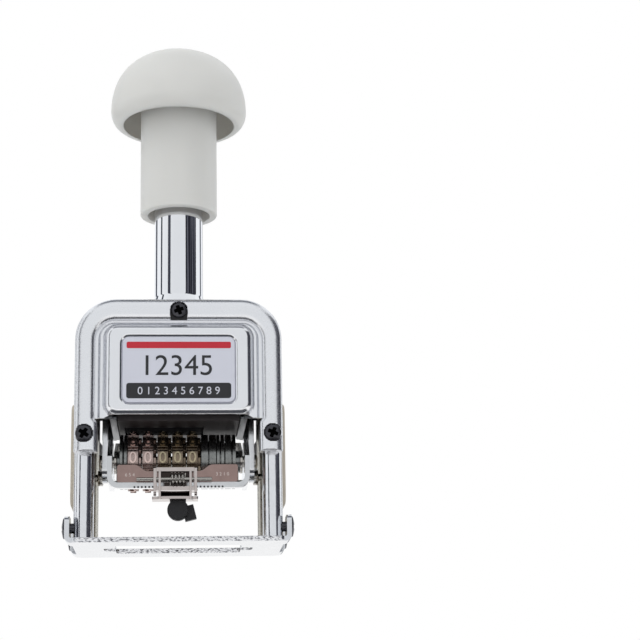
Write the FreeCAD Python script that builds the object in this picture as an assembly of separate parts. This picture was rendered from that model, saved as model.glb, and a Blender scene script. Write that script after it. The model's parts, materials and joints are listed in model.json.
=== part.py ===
"""A hand-pressed numbering machine, in millimetres.

X runs to the right, Y away from the user and Z up along the handle. The table is Z = 0 and the handle's
axis is X = Y = 0. Everything is drawn at rest, with the type up against the ink pad.
"""

import FreeCAD, Part
import math
import os

V = FreeCAD.Vector

# Arch frame and its posts
frame_height = 73.3
frame_thickness = 4.0
frame_corner_radius = 12.5
frame_leg_width = 6.0
frame_leg_end = 26.5
frame_top_bar = 6.7
frame_inner_radius = 6.0
frame_edge_radius = 1.8
frame_bevel = 1.4
leg_boss_width = 7.0
leg_boss_top = 35.2
leg_boss_slope = 1.4
post_radius = 3.0
cam_post_gap = 0.3
follower_reach = 10.2
follower_inset = 2.0
post_top_drop = 26.3
post_lug_height = 6.0

# Base plate
base_sheet = 1.5
base_margin = 0.4
base_inset = 2.0
base_corner_radius = 1.5
ear_bend = 2.0
ear_width = 9.0
ear_height = 8.0
ear_corner_radius = 2.2
window_half_width = 19.0
window_half_depth = 10.0
window_corner_radius = 1.0
window_notch_half_width = 22.5
window_notch_half_depth = 3.5

# Wheels and type
wheel_height = 26.9
type_radius = 9.4
type_relief = 0.5
type_count = 10
type_half_length = 2.05
type_half_width = 1.65
drum_radius = 7.9
ratchet_radius = 7.5
ratchet_depth = 0.9
wheel_pitch = 4.5
wheel_gap = 0.3
wheel_count = 5
wheels_left = -15.6
blank_lands = ((0, 2.1, 2.4, 4.5), (4.7, 5.6, 6.0, 7.0), (7.3, 9.1, 9.5, 10.5))
collar_lands = (-2.3, -1.3, -1.0, 0)
feed_arm_gap = 1.5
feed_arm_sheet = 0.8
shaft_radius = 1.75
running_clearance = 0.05
print_gap = 0.2
case_turn = 162.0

# Wheel case and yoke
case_gap = 0.3
case_sheet = 1.4
yoke_sheet = 1.5
yoke_margin = 1.8
case_top = 7.0
case_bar_front = 12.0
case_bar_depth = 2.8
case_bar_bottom = 17.2
case_bar_height = 1.6
case_bend = 3.5
case_boss_radius = 2.6
index_notch = 0.5
index_pitch = 1.1
index_count = 25

# Handle
neck_radius = 7.65
neck_wall = 1.15
neck_top_rise = 44.7
neck_foot_rise = 0.8
neck_lip_radius = 0.4
neck_collar_radius = 8.4
neck_collar_height = 3.3
neck_flare_height = 2.3
sleeve_radius = 12.2
sleeve_mouth_radius = 9.8
sleeve_mouth_depth = 6.0
sleeve_bottom_rise = 32.9
sleeve_ceiling_drop = 9.0
sleeve_edge_radius = 0.6
sleeve_top_rise = 72.7
sleeve_spigot_radius = 8.0
sleeve_spigot_length = 4.0
knob_radius = 21.8
knob_widest_drop = 4.5
knob_top_rise = 15.5
knob_rim_drop = 9.2
knob_rim_radius = 18.9
knob_wall = 2.2
rod_radius = 3.0
crown_boss_drop = 6.3

# Fits, fasteners and wire
seat_clearance = 0.05
slide_clearance = 0.1
screw_radius = 1.4
overrun = 1.0

# Sizes that follow from the ones above
stroke = wheel_height - type_radius - print_gap
type_step = 360 / type_count
block_radius = type_radius - type_relief
ratchet_width = wheel_pitch - wheel_gap - 2 * type_half_width
cam_half_depth = follower_reach + follower_inset
frame_half_depth = cam_half_depth + cam_post_gap + 2 * post_radius + frame_thickness
first_wheel_x = wheels_left + wheel_pitch / 2
wheels_right = wheels_left + wheel_pitch * wheel_count
feed_arm_x = wheels_right + blank_lands[-1][-1] + feed_arm_gap
case_inner_x = feed_arm_x + feed_arm_sheet + case_gap
case_outer_x = case_inner_x + case_sheet
case_middle_x = case_inner_x + case_sheet / 2
yoke_outer_x = case_outer_x + case_gap + yoke_sheet
arch_inner_x = yoke_outer_x + yoke_margin
frame_half_width = arch_inner_x + frame_leg_width
arch_inner_top = frame_height - frame_top_bar
arch_back = frame_half_depth - frame_thickness
post_x = frame_half_width - post_radius
post_y = arch_back - post_radius
post_top = frame_height - post_top_drop
base_half_width = frame_half_width + base_margin
base_half_depth = frame_half_depth - base_inset
crown_boss_bottom = frame_height - crown_boss_drop
neck_foot = crown_boss_bottom + neck_foot_rise
neck_top = frame_height + neck_top_rise
sleeve_bottom = frame_height + sleeve_bottom_rise
sleeve_top = frame_height + sleeve_top_rise
sleeve_ceiling = sleeve_top - sleeve_ceiling_drop
knob_widest = sleeve_top - knob_widest_drop
knob_top = sleeve_top + knob_top_rise
knob_rim_height = sleeve_top - knob_rim_drop
rod_hole_radius = rod_radius + running_clearance
shaft_hole_radius = shaft_radius + running_clearance


def in_xz(u, v):
    """A point of a front outline."""
    return V(u, 0, v)


def in_yz(u, v):
    """A point of a side outline."""
    return V(0, u, v)


def in_xy(u, v):
    """A point of a plan outline."""
    return V(u, v, 0)


def outline(corners, plane):
    """A closed wire through corners (u, v, radius), each rounded by an arc of its own radius."""
    spans = []
    for index, (u, v, radius) in enumerate(corners):
        here = V(u, v, 0)
        back = V(*corners[index - 1][:2], 0) - here
        ahead = V(*corners[(index + 1) % len(corners)][:2], 0) - here
        half = back.getAngle(ahead) / 2
        back.normalize()
        ahead.normalize()
        reach = radius / math.tan(half)
        middle = here
        if radius:
            inward = (back + ahead).normalize()
            middle = here + inward * (radius / math.sin(half) - radius)
        spans.append((here + back * reach, middle, here + ahead * reach, radius))
    edges = []
    for index, (start, middle, end, radius) in enumerate(spans):
        if radius:
            arc = [plane(point.x, point.y) for point in (start, middle, end)]
            edges.append(Part.Arc(*arc).toShape())
        following = spans[(index + 1) % len(spans)][0]
        if not near((following - end).Length, 0):
            edges.append(Part.makeLine(plane(end.x, end.y), plane(following.x, following.y)))
    return Part.Wire(edges)


def slab_xz(corners, y):
    """A front outline extruded from y[0] to y[1]."""
    face = Part.Face(outline(corners, in_xz))
    face.translate(V(0, y[0], 0))
    return face.extrude(V(0, y[1] - y[0], 0))


def slab_yz(corners, x):
    """A side outline extruded from x[0] to x[1]."""
    face = Part.Face(outline(corners, in_yz))
    face.translate(V(x[0], 0, 0))
    return face.extrude(V(x[1] - x[0], 0, 0))


def slab_xy(corners, z):
    """A plan outline extruded from z[0] to z[1]."""
    face = Part.Face(outline(corners, in_xy))
    face.translate(V(0, 0, z[0]))
    return face.extrude(V(0, 0, z[1] - z[0]))


def rectangle(u, v, radius=0):
    """Corners of a rectangle between two pairs of coordinates, all with one radius."""
    return [(u[0], v[0], radius), (u[0], v[1], radius), (u[1], v[1], radius), (u[1], v[0], radius)]


def both(half):
    """A pair of coordinates either side of zero."""
    return (-half, half)


def block(x, y, z):
    """A box between three pairs of coordinates."""
    return Part.makeBox(x[1] - x[0], y[1] - y[0], z[1] - z[0], V(x[0], y[0], z[0]))


def rod_x(radius, x, y=0, z=0):
    """A round bar along X."""
    return Part.makeCylinder(radius, x[1] - x[0], V(x[0], y, z), V(1, 0, 0))


def rod_y(radius, y, x=0, z=0):
    """A round bar along Y."""
    return Part.makeCylinder(radius, y[1] - y[0], V(x, y[0], z), V(0, 1, 0))


def rod_z(radius, z, x=0, y=0):
    """A round bar along Z."""
    return Part.makeCylinder(radius, z[1] - z[0], V(x, y, z[0]), V(0, 0, 1))


def turned(corners):
    """A solid of revolution about Z from an outline of (radius, height, rounding)."""
    return Part.Face(outline(corners, in_xz)).revolve(V(0, 0, 0), V(0, 0, 1), 360)


def mirror_x(shape):
    """The same piece on the other side of the machine."""
    return shape.mirror(V(0, 0, 0), V(1, 0, 0))


def mirror_y(shape):
    """The same piece at the back of the machine."""
    return shape.mirror(V(0, 0, 0), V(0, 1, 0))


def turn_x(shape, angle, y=0, z=0):
    """A copy turned about a line along X."""
    copy = shape.copy()
    copy.rotate(V(0, y, z), V(1, 0, 0), angle)
    return copy


def edges_where(shape, test):
    """The edges whose middle passes a test."""
    return [edge for edge in shape.Edges if test(edge.valueAt((edge.FirstParameter + edge.LastParameter) / 2))]


def near(a, b):
    """Whether two lengths agree."""
    return abs(a - b) < running_clearance / 10


# Screw heads
base_head_radius = 3.1
base_head_thickness = 1.0
base_screw_height = 4.7
base_screw_radius = 1.5
base_screw_length = 5.0
leg_head_radius = 2.5
leg_head_thickness = 1.3
leg_head_proud = 0.5
leg_screw_height = 32.0
leg_screw_length = 8.0
top_head_radius = 2.3
top_head_thickness = 1.1
top_screw_drop = 3.6
top_notch_radius = 2.8
top_notch_depth = 1.2
top_screw_length = 9.0
head_bevel_share = 1 / 3
top_screw_height = frame_height - top_screw_drop


def screw(head_radius, head_thickness, shank_radius, shank_length):
    """A pan-head screw pointing along +Y, with the top of its head at Y = 0."""
    head = rod_y(head_radius, (0, head_thickness))
    rim = edges_where(head, lambda point: near(point.y, 0))
    head = head.makeChamfer(head_thickness * head_bevel_share, rim)
    return head.fuse(rod_y(shank_radius, (head_thickness, head_thickness + shank_length)))


def base_plate():
    """The folded sheet: a floor with the printing window, and an ear bent up at each corner."""
    floor = slab_xy(rectangle(both(base_half_width), both(base_half_depth), base_corner_radius), (0, base_sheet))
    inner_bend = ear_bend - base_sheet
    ear_inner_x = base_half_width + inner_bend
    ear_outer_x = base_half_width + ear_bend
    section = [
        (base_half_width - ear_bend, 0, 0),
        (ear_outer_x, 0, ear_bend),
        (ear_outer_x, ear_height, 0),
        (ear_inner_x, ear_height, 0),
        (ear_inner_x, base_sheet, inner_bend),
        (base_half_width - ear_bend, base_sheet, 0),
    ]
    sides = (post_y - ear_width / 2, post_y + ear_width / 2)
    ear = slab_xz(section, sides)
    tips = edges_where(ear, lambda point: near(point.z, ear_height) and not sides[0] < point.y < sides[1])
    ear = ear.makeFillet(ear_corner_radius, tips)
    hole = rod_x(base_screw_radius + seat_clearance, (base_half_width, ear_outer_x + overrun), post_y,
                 base_screw_height)
    ear = ear.cut(hole)
    corners = [ear, mirror_x(ear), mirror_y(ear), mirror_y(mirror_x(ear))]
    plate = floor.multiFuse(corners)
    through = (-overrun, base_sheet + overrun)
    window = slab_xy(rectangle(both(window_half_width), both(window_half_depth), window_corner_radius), through)
    notches = slab_xy(
        rectangle(both(window_notch_half_width), both(window_notch_half_depth), window_corner_radius), through)
    return plate.cut(window).cut(notches).removeSplitter()


def post(side_x, side_y):
    """One corner post, with its two tapped holes."""
    x = side_x * post_x
    y = side_y * post_y
    body = rod_z(post_radius, (base_sheet, post_top), x, y)
    outer = side_x * frame_half_width
    inner = side_x * (base_half_width + ear_bend - base_screw_length)
    body = body.cut(rod_x(base_screw_radius + seat_clearance, sorted((inner, outer)), y, base_screw_height))
    face = side_y * arch_back
    depth = side_y * (frame_half_depth + leg_head_proud - leg_head_thickness - leg_screw_length)
    return body.cut(rod_y(screw_radius + seat_clearance, sorted((depth, face)), x, leg_screw_height))


def base_screws():
    """Four pan heads that hold the ears to the posts."""
    one = screw(base_head_radius, base_head_thickness, base_screw_radius, base_screw_length)
    one.rotate(V(0, 0, 0), V(0, 0, 1), 90)
    one.translate(V(base_half_width + ear_bend + base_head_thickness, post_y, base_screw_height))
    return Part.Compound([one, mirror_x(one), mirror_y(one), mirror_y(mirror_x(one))])


# Covers
cover_sheet = 1.0
cover_rebate = 0.8
cover_gap = 0.15
cover_lip_depth = 1.5
cover_step = 0.8
cover_step_gap = 1.0
cover_step_drop = 0.4
cover_step_radius = 5.0
emboss_margin = 1.4
emboss_drop = 0.9
emboss_radius = 4.5
emboss_slope = 1.6
front_cover_bottom = 37.7
front_cover_flare = 0.9
front_cover_flare_margin = 3.5
rear_cover_bottom = 43.5
cover_face = frame_half_depth + leg_head_proud
label_margin = 5.5
label_rise = 3.1
label_drop = 4.3
label_radius = 2.3
label_depth = 0.5
name_plate_thickness = 0.4
name_plate_margin = 0.4
cover_step_half_width = arch_inner_x - cover_step_gap
cover_step_top = arch_inner_top - cover_step_drop
front_cover_flare_x = cover_step_half_width - front_cover_flare_margin
emboss_half_width = cover_step_half_width - emboss_margin
label_half_width = emboss_half_width - label_margin
emboss_top = arch_inner_top - emboss_drop
label_bottom = front_cover_bottom + label_rise
label_top = emboss_top - label_drop
rebate_half_width = arch_inner_x + cover_rebate
rebate_top = arch_inner_top + cover_rebate
rebate_radius = frame_inner_radius + cover_rebate
flange_front = frame_half_depth - frame_thickness + cover_lip_depth


def arch():
    """The front arch: a cast inverted U with bosses at the leg ends and a rebate for the cover."""
    body = slab_xz(
        [
            (-frame_half_width, frame_leg_end, 0),
            (-frame_half_width, frame_height, frame_corner_radius),
            (frame_half_width, frame_height, frame_corner_radius),
            (frame_half_width, frame_leg_end, 0),
        ],
        (-frame_half_depth, -arch_back),
    )
    rim = edges_where(body, lambda point: near(point.y, -frame_half_depth) and point.z > frame_leg_end + overrun)
    body = body.makeFillet(frame_edge_radius, rim)
    boss_x = frame_half_width - leg_boss_width
    below = frame_leg_end - overrun
    opening = [(boss_x, below, 0), (boss_x, leg_boss_top, 0), (arch_inner_x, leg_boss_top + leg_boss_slope, 0)]
    opening += [(arch_inner_x, arch_inner_top, frame_inner_radius)]
    opening += [(-x, z, radius) for x, z, radius in reversed(opening)]
    body = body.cut(slab_xz(opening, (-frame_half_depth - overrun, -arch_back + overrun)))
    inner = edges_where(
        body,
        lambda point: near(point.y, -frame_half_depth)
        and abs(point.x) < arch_inner_x + running_clearance
        and frame_leg_end + overrun < point.z < arch_inner_top + running_clearance,
    )
    body = body.makeChamfer(frame_bevel, inner)
    rebate = slab_xz(
        [
            (-rebate_half_width, leg_boss_top + leg_boss_slope, 0),
            (-rebate_half_width, rebate_top, rebate_radius),
            (rebate_half_width, rebate_top, rebate_radius),
            (rebate_half_width, leg_boss_top + leg_boss_slope, 0),
        ],
        (-flange_front, -arch_back + overrun),
    )
    body = body.cut(rebate)
    notch_floor = -frame_half_depth + top_notch_depth
    notch = rod_y(top_notch_radius, (-frame_half_depth - overrun, notch_floor), 0, top_screw_height)
    notch = notch.fuse(
        block(both(top_notch_radius), (-frame_half_depth - overrun, notch_floor), (below, top_screw_height)))
    body = body.cut(notch)
    body = body.cut(rod_y(screw_radius + seat_clearance, (-frame_half_depth, -arch_back), 0, top_screw_height))
    seat = -frame_half_depth - leg_head_proud + leg_head_thickness
    for x in both(post_x):
        body = body.cut(rod_y(leg_head_radius + slide_clearance, (-frame_half_depth - overrun, seat), x,
                              leg_screw_height))
        body = body.cut(rod_y(screw_radius + seat_clearance, (seat, -arch_back + overrun), x, leg_screw_height))
    return body.removeSplitter()


def leg_screws():
    """The four screws that hold the arches to the posts."""
    one = screw(leg_head_radius, leg_head_thickness, screw_radius, leg_screw_length)
    one.translate(V(post_x, -frame_half_depth - leg_head_proud, leg_screw_height))
    return Part.Compound([one, mirror_x(one), mirror_y(one), mirror_y(mirror_x(one))])


def top_screws():
    """The two screws that hold the arches to the crown."""
    one = screw(top_head_radius, top_head_thickness, screw_radius, top_screw_length)
    one.translate(V(0, -frame_half_depth + top_notch_depth - top_head_thickness, top_screw_height))
    return Part.Compound([one, mirror_y(one)])


def embossed(half_width, bottom, top, radius, slope, y):
    """A raised panel: a loft from its foot at y[0] to its smaller face at y[1]."""
    foot = outline(rectangle(both(half_width), (bottom, top), radius), in_xz)
    foot.translate(V(0, y[0], 0))
    face_radius = min(radius * (half_width - slope) / half_width, (top - bottom) / 2 - slope - running_clearance)
    face = outline(rectangle(both(half_width - slope), (bottom + slope, top - slope), face_radius), in_xz)
    face.translate(V(0, y[1], 0))
    return Part.makeLoft([foot, face], True, True)


def cover(bottom, flare):
    """A pressed cover: a flange for the rebate, a low step and the raised panel, all one sheet thick."""
    edge_x = rebate_half_width - cover_gap
    edge_top = rebate_top - cover_gap
    low = bottom - flare
    lower_edge = [(edge_x, low, 0), (front_cover_flare_x + 2 * flare, low, 0), (front_cover_flare_x, bottom, 0)]
    if not flare:
        lower_edge = [(edge_x, low, 0)]
    corners = lower_edge + [(-x, z, radius) for x, z, radius in reversed(lower_edge)]
    corners += [(-edge_x, edge_top, rebate_radius), (edge_x, edge_top, rebate_radius)]
    back = -flange_front + cover_sheet
    flange = slab_xz(corners, (-flange_front, back))
    step_front = -flange_front - cover_step
    step_corners = lower_edge[1:] or [(cover_step_half_width, low, 0)]
    step_corners = step_corners + [(-x, z, radius) for x, z, radius in reversed(step_corners)]
    step_corners += [
        (-cover_step_half_width, low, 0),
        (-cover_step_half_width, cover_step_top, cover_step_radius),
        (cover_step_half_width, cover_step_top, cover_step_radius),
        (cover_step_half_width, low, 0),
    ]
    if not flare:
        step_corners = rectangle(both(cover_step_half_width), (low, cover_step_top))
        step_corners = [(x, z, cover_step_radius if z > low else 0) for x, z, radius in step_corners]
    step = slab_xz(step_corners, (step_front, -flange_front))
    raised = embossed(emboss_half_width, bottom, emboss_top, emboss_radius, emboss_slope, (step_front, -cover_face))
    inner_half_width = emboss_half_width - cover_sheet
    hollow = embossed(inner_half_width, bottom + cover_sheet, emboss_top - cover_sheet, emboss_radius - cover_sheet,
                      emboss_slope, (step_front, -cover_face + cover_sheet))
    shaft = rectangle(both(inner_half_width), (bottom + cover_sheet, emboss_top - cover_sheet),
                      emboss_radius - cover_sheet)
    hollow = hollow.fuse(slab_xz(shaft, (step_front, back + overrun)))
    return flange.fuse(step).fuse(raised).cut(hollow).removeSplitter()


def front_cover():
    """The front cover, with the recess for the name plate."""
    recess = slab_xz(rectangle(both(label_half_width), (label_bottom, label_top), label_radius),
                     (-cover_face - overrun, -cover_face + label_depth))
    return cover(front_cover_bottom, front_cover_flare).cut(recess).removeSplitter()


def rear_cover():
    """The rear cover, shorter so that the pad tray passes under it."""
    return mirror_y(cover(rear_cover_bottom, 0))


def name_plate():
    """The thin plate in the front cover's recess."""
    half_width = label_half_width - name_plate_margin
    height = (label_bottom + name_plate_margin, label_top - name_plate_margin)
    back = -cover_face + label_depth
    return slab_xz(rectangle(both(half_width), height, label_radius - name_plate_margin),
                   (back - name_plate_thickness, back))


# Crown
crown_wall = 2.5
crown_bottom = post_top
crown_boss_radius = 12.0
crown_rib_half_width = 5.0
crown_rib_rise = 0.4
crown_inner_x = frame_half_width - crown_wall
crown_ceiling = frame_height - crown_wall
crown_rib_bottom = crown_boss_bottom + crown_rib_rise


def crown():
    """The casting between the arches: roof and cheeks, the neck's boss, a rib and four lugs for the posts."""
    depth = both(arch_back)
    roof = slab_xz(
        [
            (-frame_half_width, crown_bottom, 0),
            (-frame_half_width, frame_height, frame_corner_radius),
            (frame_half_width, frame_height, frame_corner_radius),
            (frame_half_width, crown_bottom, 0),
        ],
        depth,
    )
    inner_radius = frame_corner_radius - crown_wall
    roof = roof.cut(slab_xz(
        [
            (-crown_inner_x, crown_bottom - overrun, 0),
            (-crown_inner_x, crown_ceiling, inner_radius),
            (crown_inner_x, crown_ceiling, inner_radius),
            (crown_inner_x, crown_bottom - overrun, 0),
        ],
        (depth[0] - overrun, depth[1] + overrun),
    ))
    boss = rod_z(crown_boss_radius, (crown_boss_bottom, crown_ceiling + overrun))
    rib = block(both(crown_rib_half_width), depth, (crown_rib_bottom, crown_ceiling + overrun))
    lug = block((post_x - post_radius, crown_inner_x + overrun), (post_y - post_radius, arch_back),
                (crown_bottom, crown_bottom + post_lug_height))
    lugs = [lug, mirror_x(lug), mirror_y(lug), mirror_y(mirror_x(lug))]
    body = roof.multiFuse([boss, rib] + lugs)
    body = body.cut(rod_z(neck_radius + seat_clearance, (neck_foot, frame_height + overrun)))
    body = body.cut(rod_z(rod_shoulder_radius + print_gap, (crown_boss_bottom - overrun, neck_foot + overrun)))
    for side in (-1, 1):
        hole = sorted((side * (arch_back + overrun), side * (arch_back + frame_thickness - top_notch_depth
                                                           - top_screw_length - overrun)))
        body = body.cut(rod_y(screw_radius + seat_clearance, hole, 0, top_screw_height))
    return body.removeSplitter()


# Cam plates and side covers
slot_bend_share = 0.8
follower_rest_angle = 20.0
follower_disc_radius = 2.4
follower_disc_gap = 0.2
follower_disc_thickness = 1.6
cam_sheet = 1.5
cam_top_drop = 7.8
cam_corner_radius = 3.0
cam_points = 9
side_cover_bottom = 10.2
side_cover_top_drop = 1.7
side_cover_sheet = 1.0
side_cover_proud = 1.4
side_cover_taper = 2.2
side_cover_radius = 3.0
cam_outer_x = crown_inner_x
cam_inner_x = cam_outer_x - cam_sheet
follower_disc_x = yoke_outer_x + follower_disc_gap
side_cover_top = post_top - side_cover_top_drop
side_cover_outer_x = frame_half_width + side_cover_proud
cam_top = frame_height - frame_corner_radius - cam_top_drop
slot_lead = stroke / math.radians(case_turn)
slot_bend_radius = (follower_reach - slot_lead) ** 2 / follower_reach
follower_radius = slot_bend_share * slot_bend_radius - slide_clearance


def cam_path(turn, offset):
    """A point beside the follower's path, offset along the normal, once the case has turned by some radians."""
    angle = math.radians(follower_rest_angle) + turn
    y = follower_reach * math.cos(angle)
    z = wheel_height - slot_lead * turn - follower_reach * math.sin(angle)
    slope_y = -follower_reach * math.sin(angle)
    slope_z = -slot_lead - follower_reach * math.cos(angle)
    length = math.hypot(slope_y, slope_z)
    return V(0, y - offset * slope_z / length, z + offset * slope_y / length)


def cam_slot(x):
    """The turning slot: two curves either side of the follower's path, closed by round ends."""
    half_width = follower_radius + slide_clearance
    last = math.radians(case_turn)
    turns = [last * index / (cam_points - 1) for index in range(cam_points)]
    sides = []
    for offset in (half_width, -half_width):
        curve = Part.BSplineCurve()
        curve.interpolate([cam_path(turn, offset) for turn in turns])
        sides.append(curve.toShape())
    ends = []
    for turn, step in ((0, -1), (last, 1)):
        centre = cam_path(turn, 0)
        side = cam_path(turn, half_width)
        other = cam_path(turn, -half_width)
        along = (side - centre).cross(V(1, 0, 0)) * step
        ends.append(Part.Arc(side, centre + along, other).toShape())
    wire = Part.Wire(Part.__sortEdges__(sides + ends))
    face = Part.Face(wire)
    face.translate(V(x[0], 0, 0))
    return face.extrude(V(x[1] - x[0], 0, 0))


def cam_plate():
    """The right cam plate: it stands on the base, lies on the crown's cheek and carries the turning slot."""
    corners = [
        (-cam_half_depth, base_sheet, 0),
        (-cam_half_depth, cam_top, cam_corner_radius),
        (cam_half_depth, cam_top, cam_corner_radius),
        (cam_half_depth, base_sheet, 0),
    ]
    plate = slab_yz(corners, (cam_inner_x, cam_outer_x))
    return plate.cut(cam_slot((cam_inner_x - overrun, cam_outer_x + overrun)))


def side_shell(inset, outer_x):
    """The dome of a side cover, drawn in all round by an inset."""
    half_depth = cam_half_depth - inset
    height = (side_cover_bottom + inset, side_cover_top - inset)
    radius = side_cover_radius - inset
    foot = outline(rectangle(both(half_depth), height, radius), in_yz)
    foot.translate(V(cam_outer_x, 0, 0))
    crest_height = (height[0] + side_cover_taper, height[1] - side_cover_taper)
    crest = outline(rectangle(both(half_depth - side_cover_taper), crest_height, radius), in_yz)
    crest.translate(V(outer_x, 0, 0))
    return Part.makeLoft([foot, crest], True, True)


def side_cover():
    """The right side cover: a pressed dome over the cam slot, open towards the plate."""
    return side_shell(0, side_cover_outer_x).cut(
        side_shell(side_cover_sheet, side_cover_outer_x - side_cover_sheet)).removeSplitter()


# Pad carrier, tray and pad
pad_length = 24.0
pad_width = 12.0
pad_bottom = 36.4
pad_height = 3.2
pad_x = -4.35
tray_bottom = 36.5
tray_sheet = 0.8
tray_height = 4.0
tray_half_width = 18.2
tray_front_gap = 1.0
tray_back_gap = 0.5
tray_flange_width = 1.2
tray_flange_bottom = 38.1
tray_tab_half_width = 7.0
tray_tab_length = 4.6
tray_tab_lip = 2.4
carrier_sheet = 1.0
carrier_half_width = 20.6
carrier_lip_width = 1.1
carrier_top = 42.2
carrier_ear_gap = 0.8
carrier_front_ear_top = 47.0
carrier_rear_ear_top = 48.5
carrier_hole_radius = 8.0
carrier_ear_x = arch_inner_x - carrier_ear_gap
tray_front = arch_back - tray_front_gap
tray_back = arch_back - tray_back_gap
carrier_half_depth = flange_front - cover_sheet - carrier_sheet - seat_clearance


def pad_carrier():
    """The folded carrier: a roof with two rails under it, and ears against the covers."""
    depth = both(carrier_half_depth)
    lip_bottom = tray_flange_bottom - slide_clearance - carrier_sheet
    wall = (carrier_half_width - carrier_sheet, carrier_half_width)
    roof = block(both(carrier_half_width), depth, (carrier_top - carrier_sheet, carrier_top))
    roof = roof.cut(rod_z(carrier_hole_radius, (carrier_top - carrier_sheet - overrun, carrier_top + overrun)))
    side = block(wall, depth, (lip_bottom, carrier_top))
    lip = block((wall[0] - carrier_lip_width, wall[1]), depth, (lip_bottom, lip_bottom + carrier_sheet))
    pieces = [side, lip]
    front = (-carrier_half_depth - carrier_sheet, -carrier_half_depth)
    rear = (carrier_half_depth, carrier_half_depth + carrier_sheet)
    pieces.append(block((wall[0], carrier_ear_x), front, (lip_bottom, carrier_front_ear_top)))
    pieces.append(block((wall[0], carrier_ear_x), rear, (lip_bottom, carrier_rear_ear_top)))
    return roof.multiFuse(pieces + [mirror_x(piece) for piece in pieces]).removeSplitter()


def pad_tray():
    """The black tray: a shallow box with a window for the pad, side flanges and a pull tab behind."""
    top = tray_bottom + tray_height
    body = block(both(tray_half_width), (-tray_front, tray_back), (tray_bottom, top))
    body = body.cut(block(both(tray_half_width - tray_sheet), (-tray_front + tray_sheet, tray_back - tray_sheet),
                          (tray_bottom + tray_sheet, top - tray_sheet)))
    window = block((pad_x - pad_length / 2 - slide_clearance, pad_x + pad_length / 2 + slide_clearance),
                   both(pad_width / 2 + slide_clearance), (tray_bottom - overrun, tray_bottom + tray_sheet + overrun))
    body = body.cut(window)
    flange = block((tray_half_width - tray_sheet, tray_half_width + tray_flange_width), (-tray_front, tray_back),
                   (tray_flange_bottom, tray_flange_bottom + tray_sheet))
    tab_height = (tray_flange_bottom, tray_flange_bottom + tray_sheet)
    tab = block(both(tray_tab_half_width), (tray_back - tray_sheet, tray_back + tray_tab_length), tab_height)
    lip = block(both(tray_tab_half_width), (tray_back + tray_tab_length - tray_sheet, tray_back + tray_tab_length),
                (tray_flange_bottom, tray_flange_bottom + tray_tab_lip))
    return body.multiFuse([flange, mirror_x(flange), tab, lip]).removeSplitter()


def ink_pad():
    """The felt pad, a little proud of the tray."""
    return block((pad_x - pad_length / 2, pad_x + pad_length / 2), both(pad_width / 2),
                 (pad_bottom, pad_bottom + pad_height))


# Plunger: yoke, rod, spring and handle
yoke_arm_half_width = 4.0
yoke_bridge_half_width = 6.5
yoke_bridge_drop = 3.8
yoke_bridge_height = 1.6
yoke_arm_foot = 6.5
yoke_bend = 3.0
yoke_hole_radius = 0.8
yoke_hole_height = 33.2
rod_stud_radius = 2.0
rod_foot_drop = 2.5
rod_shoulder_radius = 4.5
rod_shoulder_height = 1.0
rod_thread_radius = 2.5
rod_thread_length = 6.0
nut_radius = 4.0
nut_sides = 6
nut_height = 2.2
buffer_radius = 8.5
bush_rise = 3.7
spring_wire = 1.4
spring_radius = 5.5
spring_seat_gap = 0.3
spring_top_rise = 38.7
collar_radius = 6.2
collar_height = 2.0
coil_gap_limit = 0.4
coil_checks = 24
yoke_bridge_bottom = crown_boss_bottom - yoke_bridge_drop
yoke_bridge_top = yoke_bridge_bottom + yoke_bridge_height
rod_foot = yoke_bridge_bottom - rod_foot_drop
bush_top = frame_height + bush_rise
spring_bottom = bush_top + spring_seat_gap
spring_top = frame_height + spring_top_rise
collar_bottom = spring_top + spring_seat_gap


def neck_tube():
    """The chrome neck: a tube pressed into the crown, with a collar and a short cone above it."""
    bore = neck_radius - neck_wall
    collar_top = frame_height + neck_collar_height
    return turned([
        (bore, neck_foot, 0),
        (neck_radius, neck_foot, 0),
        (neck_radius, frame_height, 0),
        (neck_collar_radius, frame_height, 0),
        (neck_collar_radius, collar_top, neck_lip_radius),
        (neck_radius, collar_top + neck_flare_height, neck_lip_radius),
        (neck_radius, neck_top, neck_lip_radius),
        (bore, neck_top, 0),
    ])


def rod_bush():
    """The brass bush in the foot of the neck."""
    outer = neck_radius - neck_wall - seat_clearance
    return rod_z(outer, (neck_foot, bush_top)).cut(rod_z(rod_hole_radius, (neck_foot - overrun, bush_top + overrun)))


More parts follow.
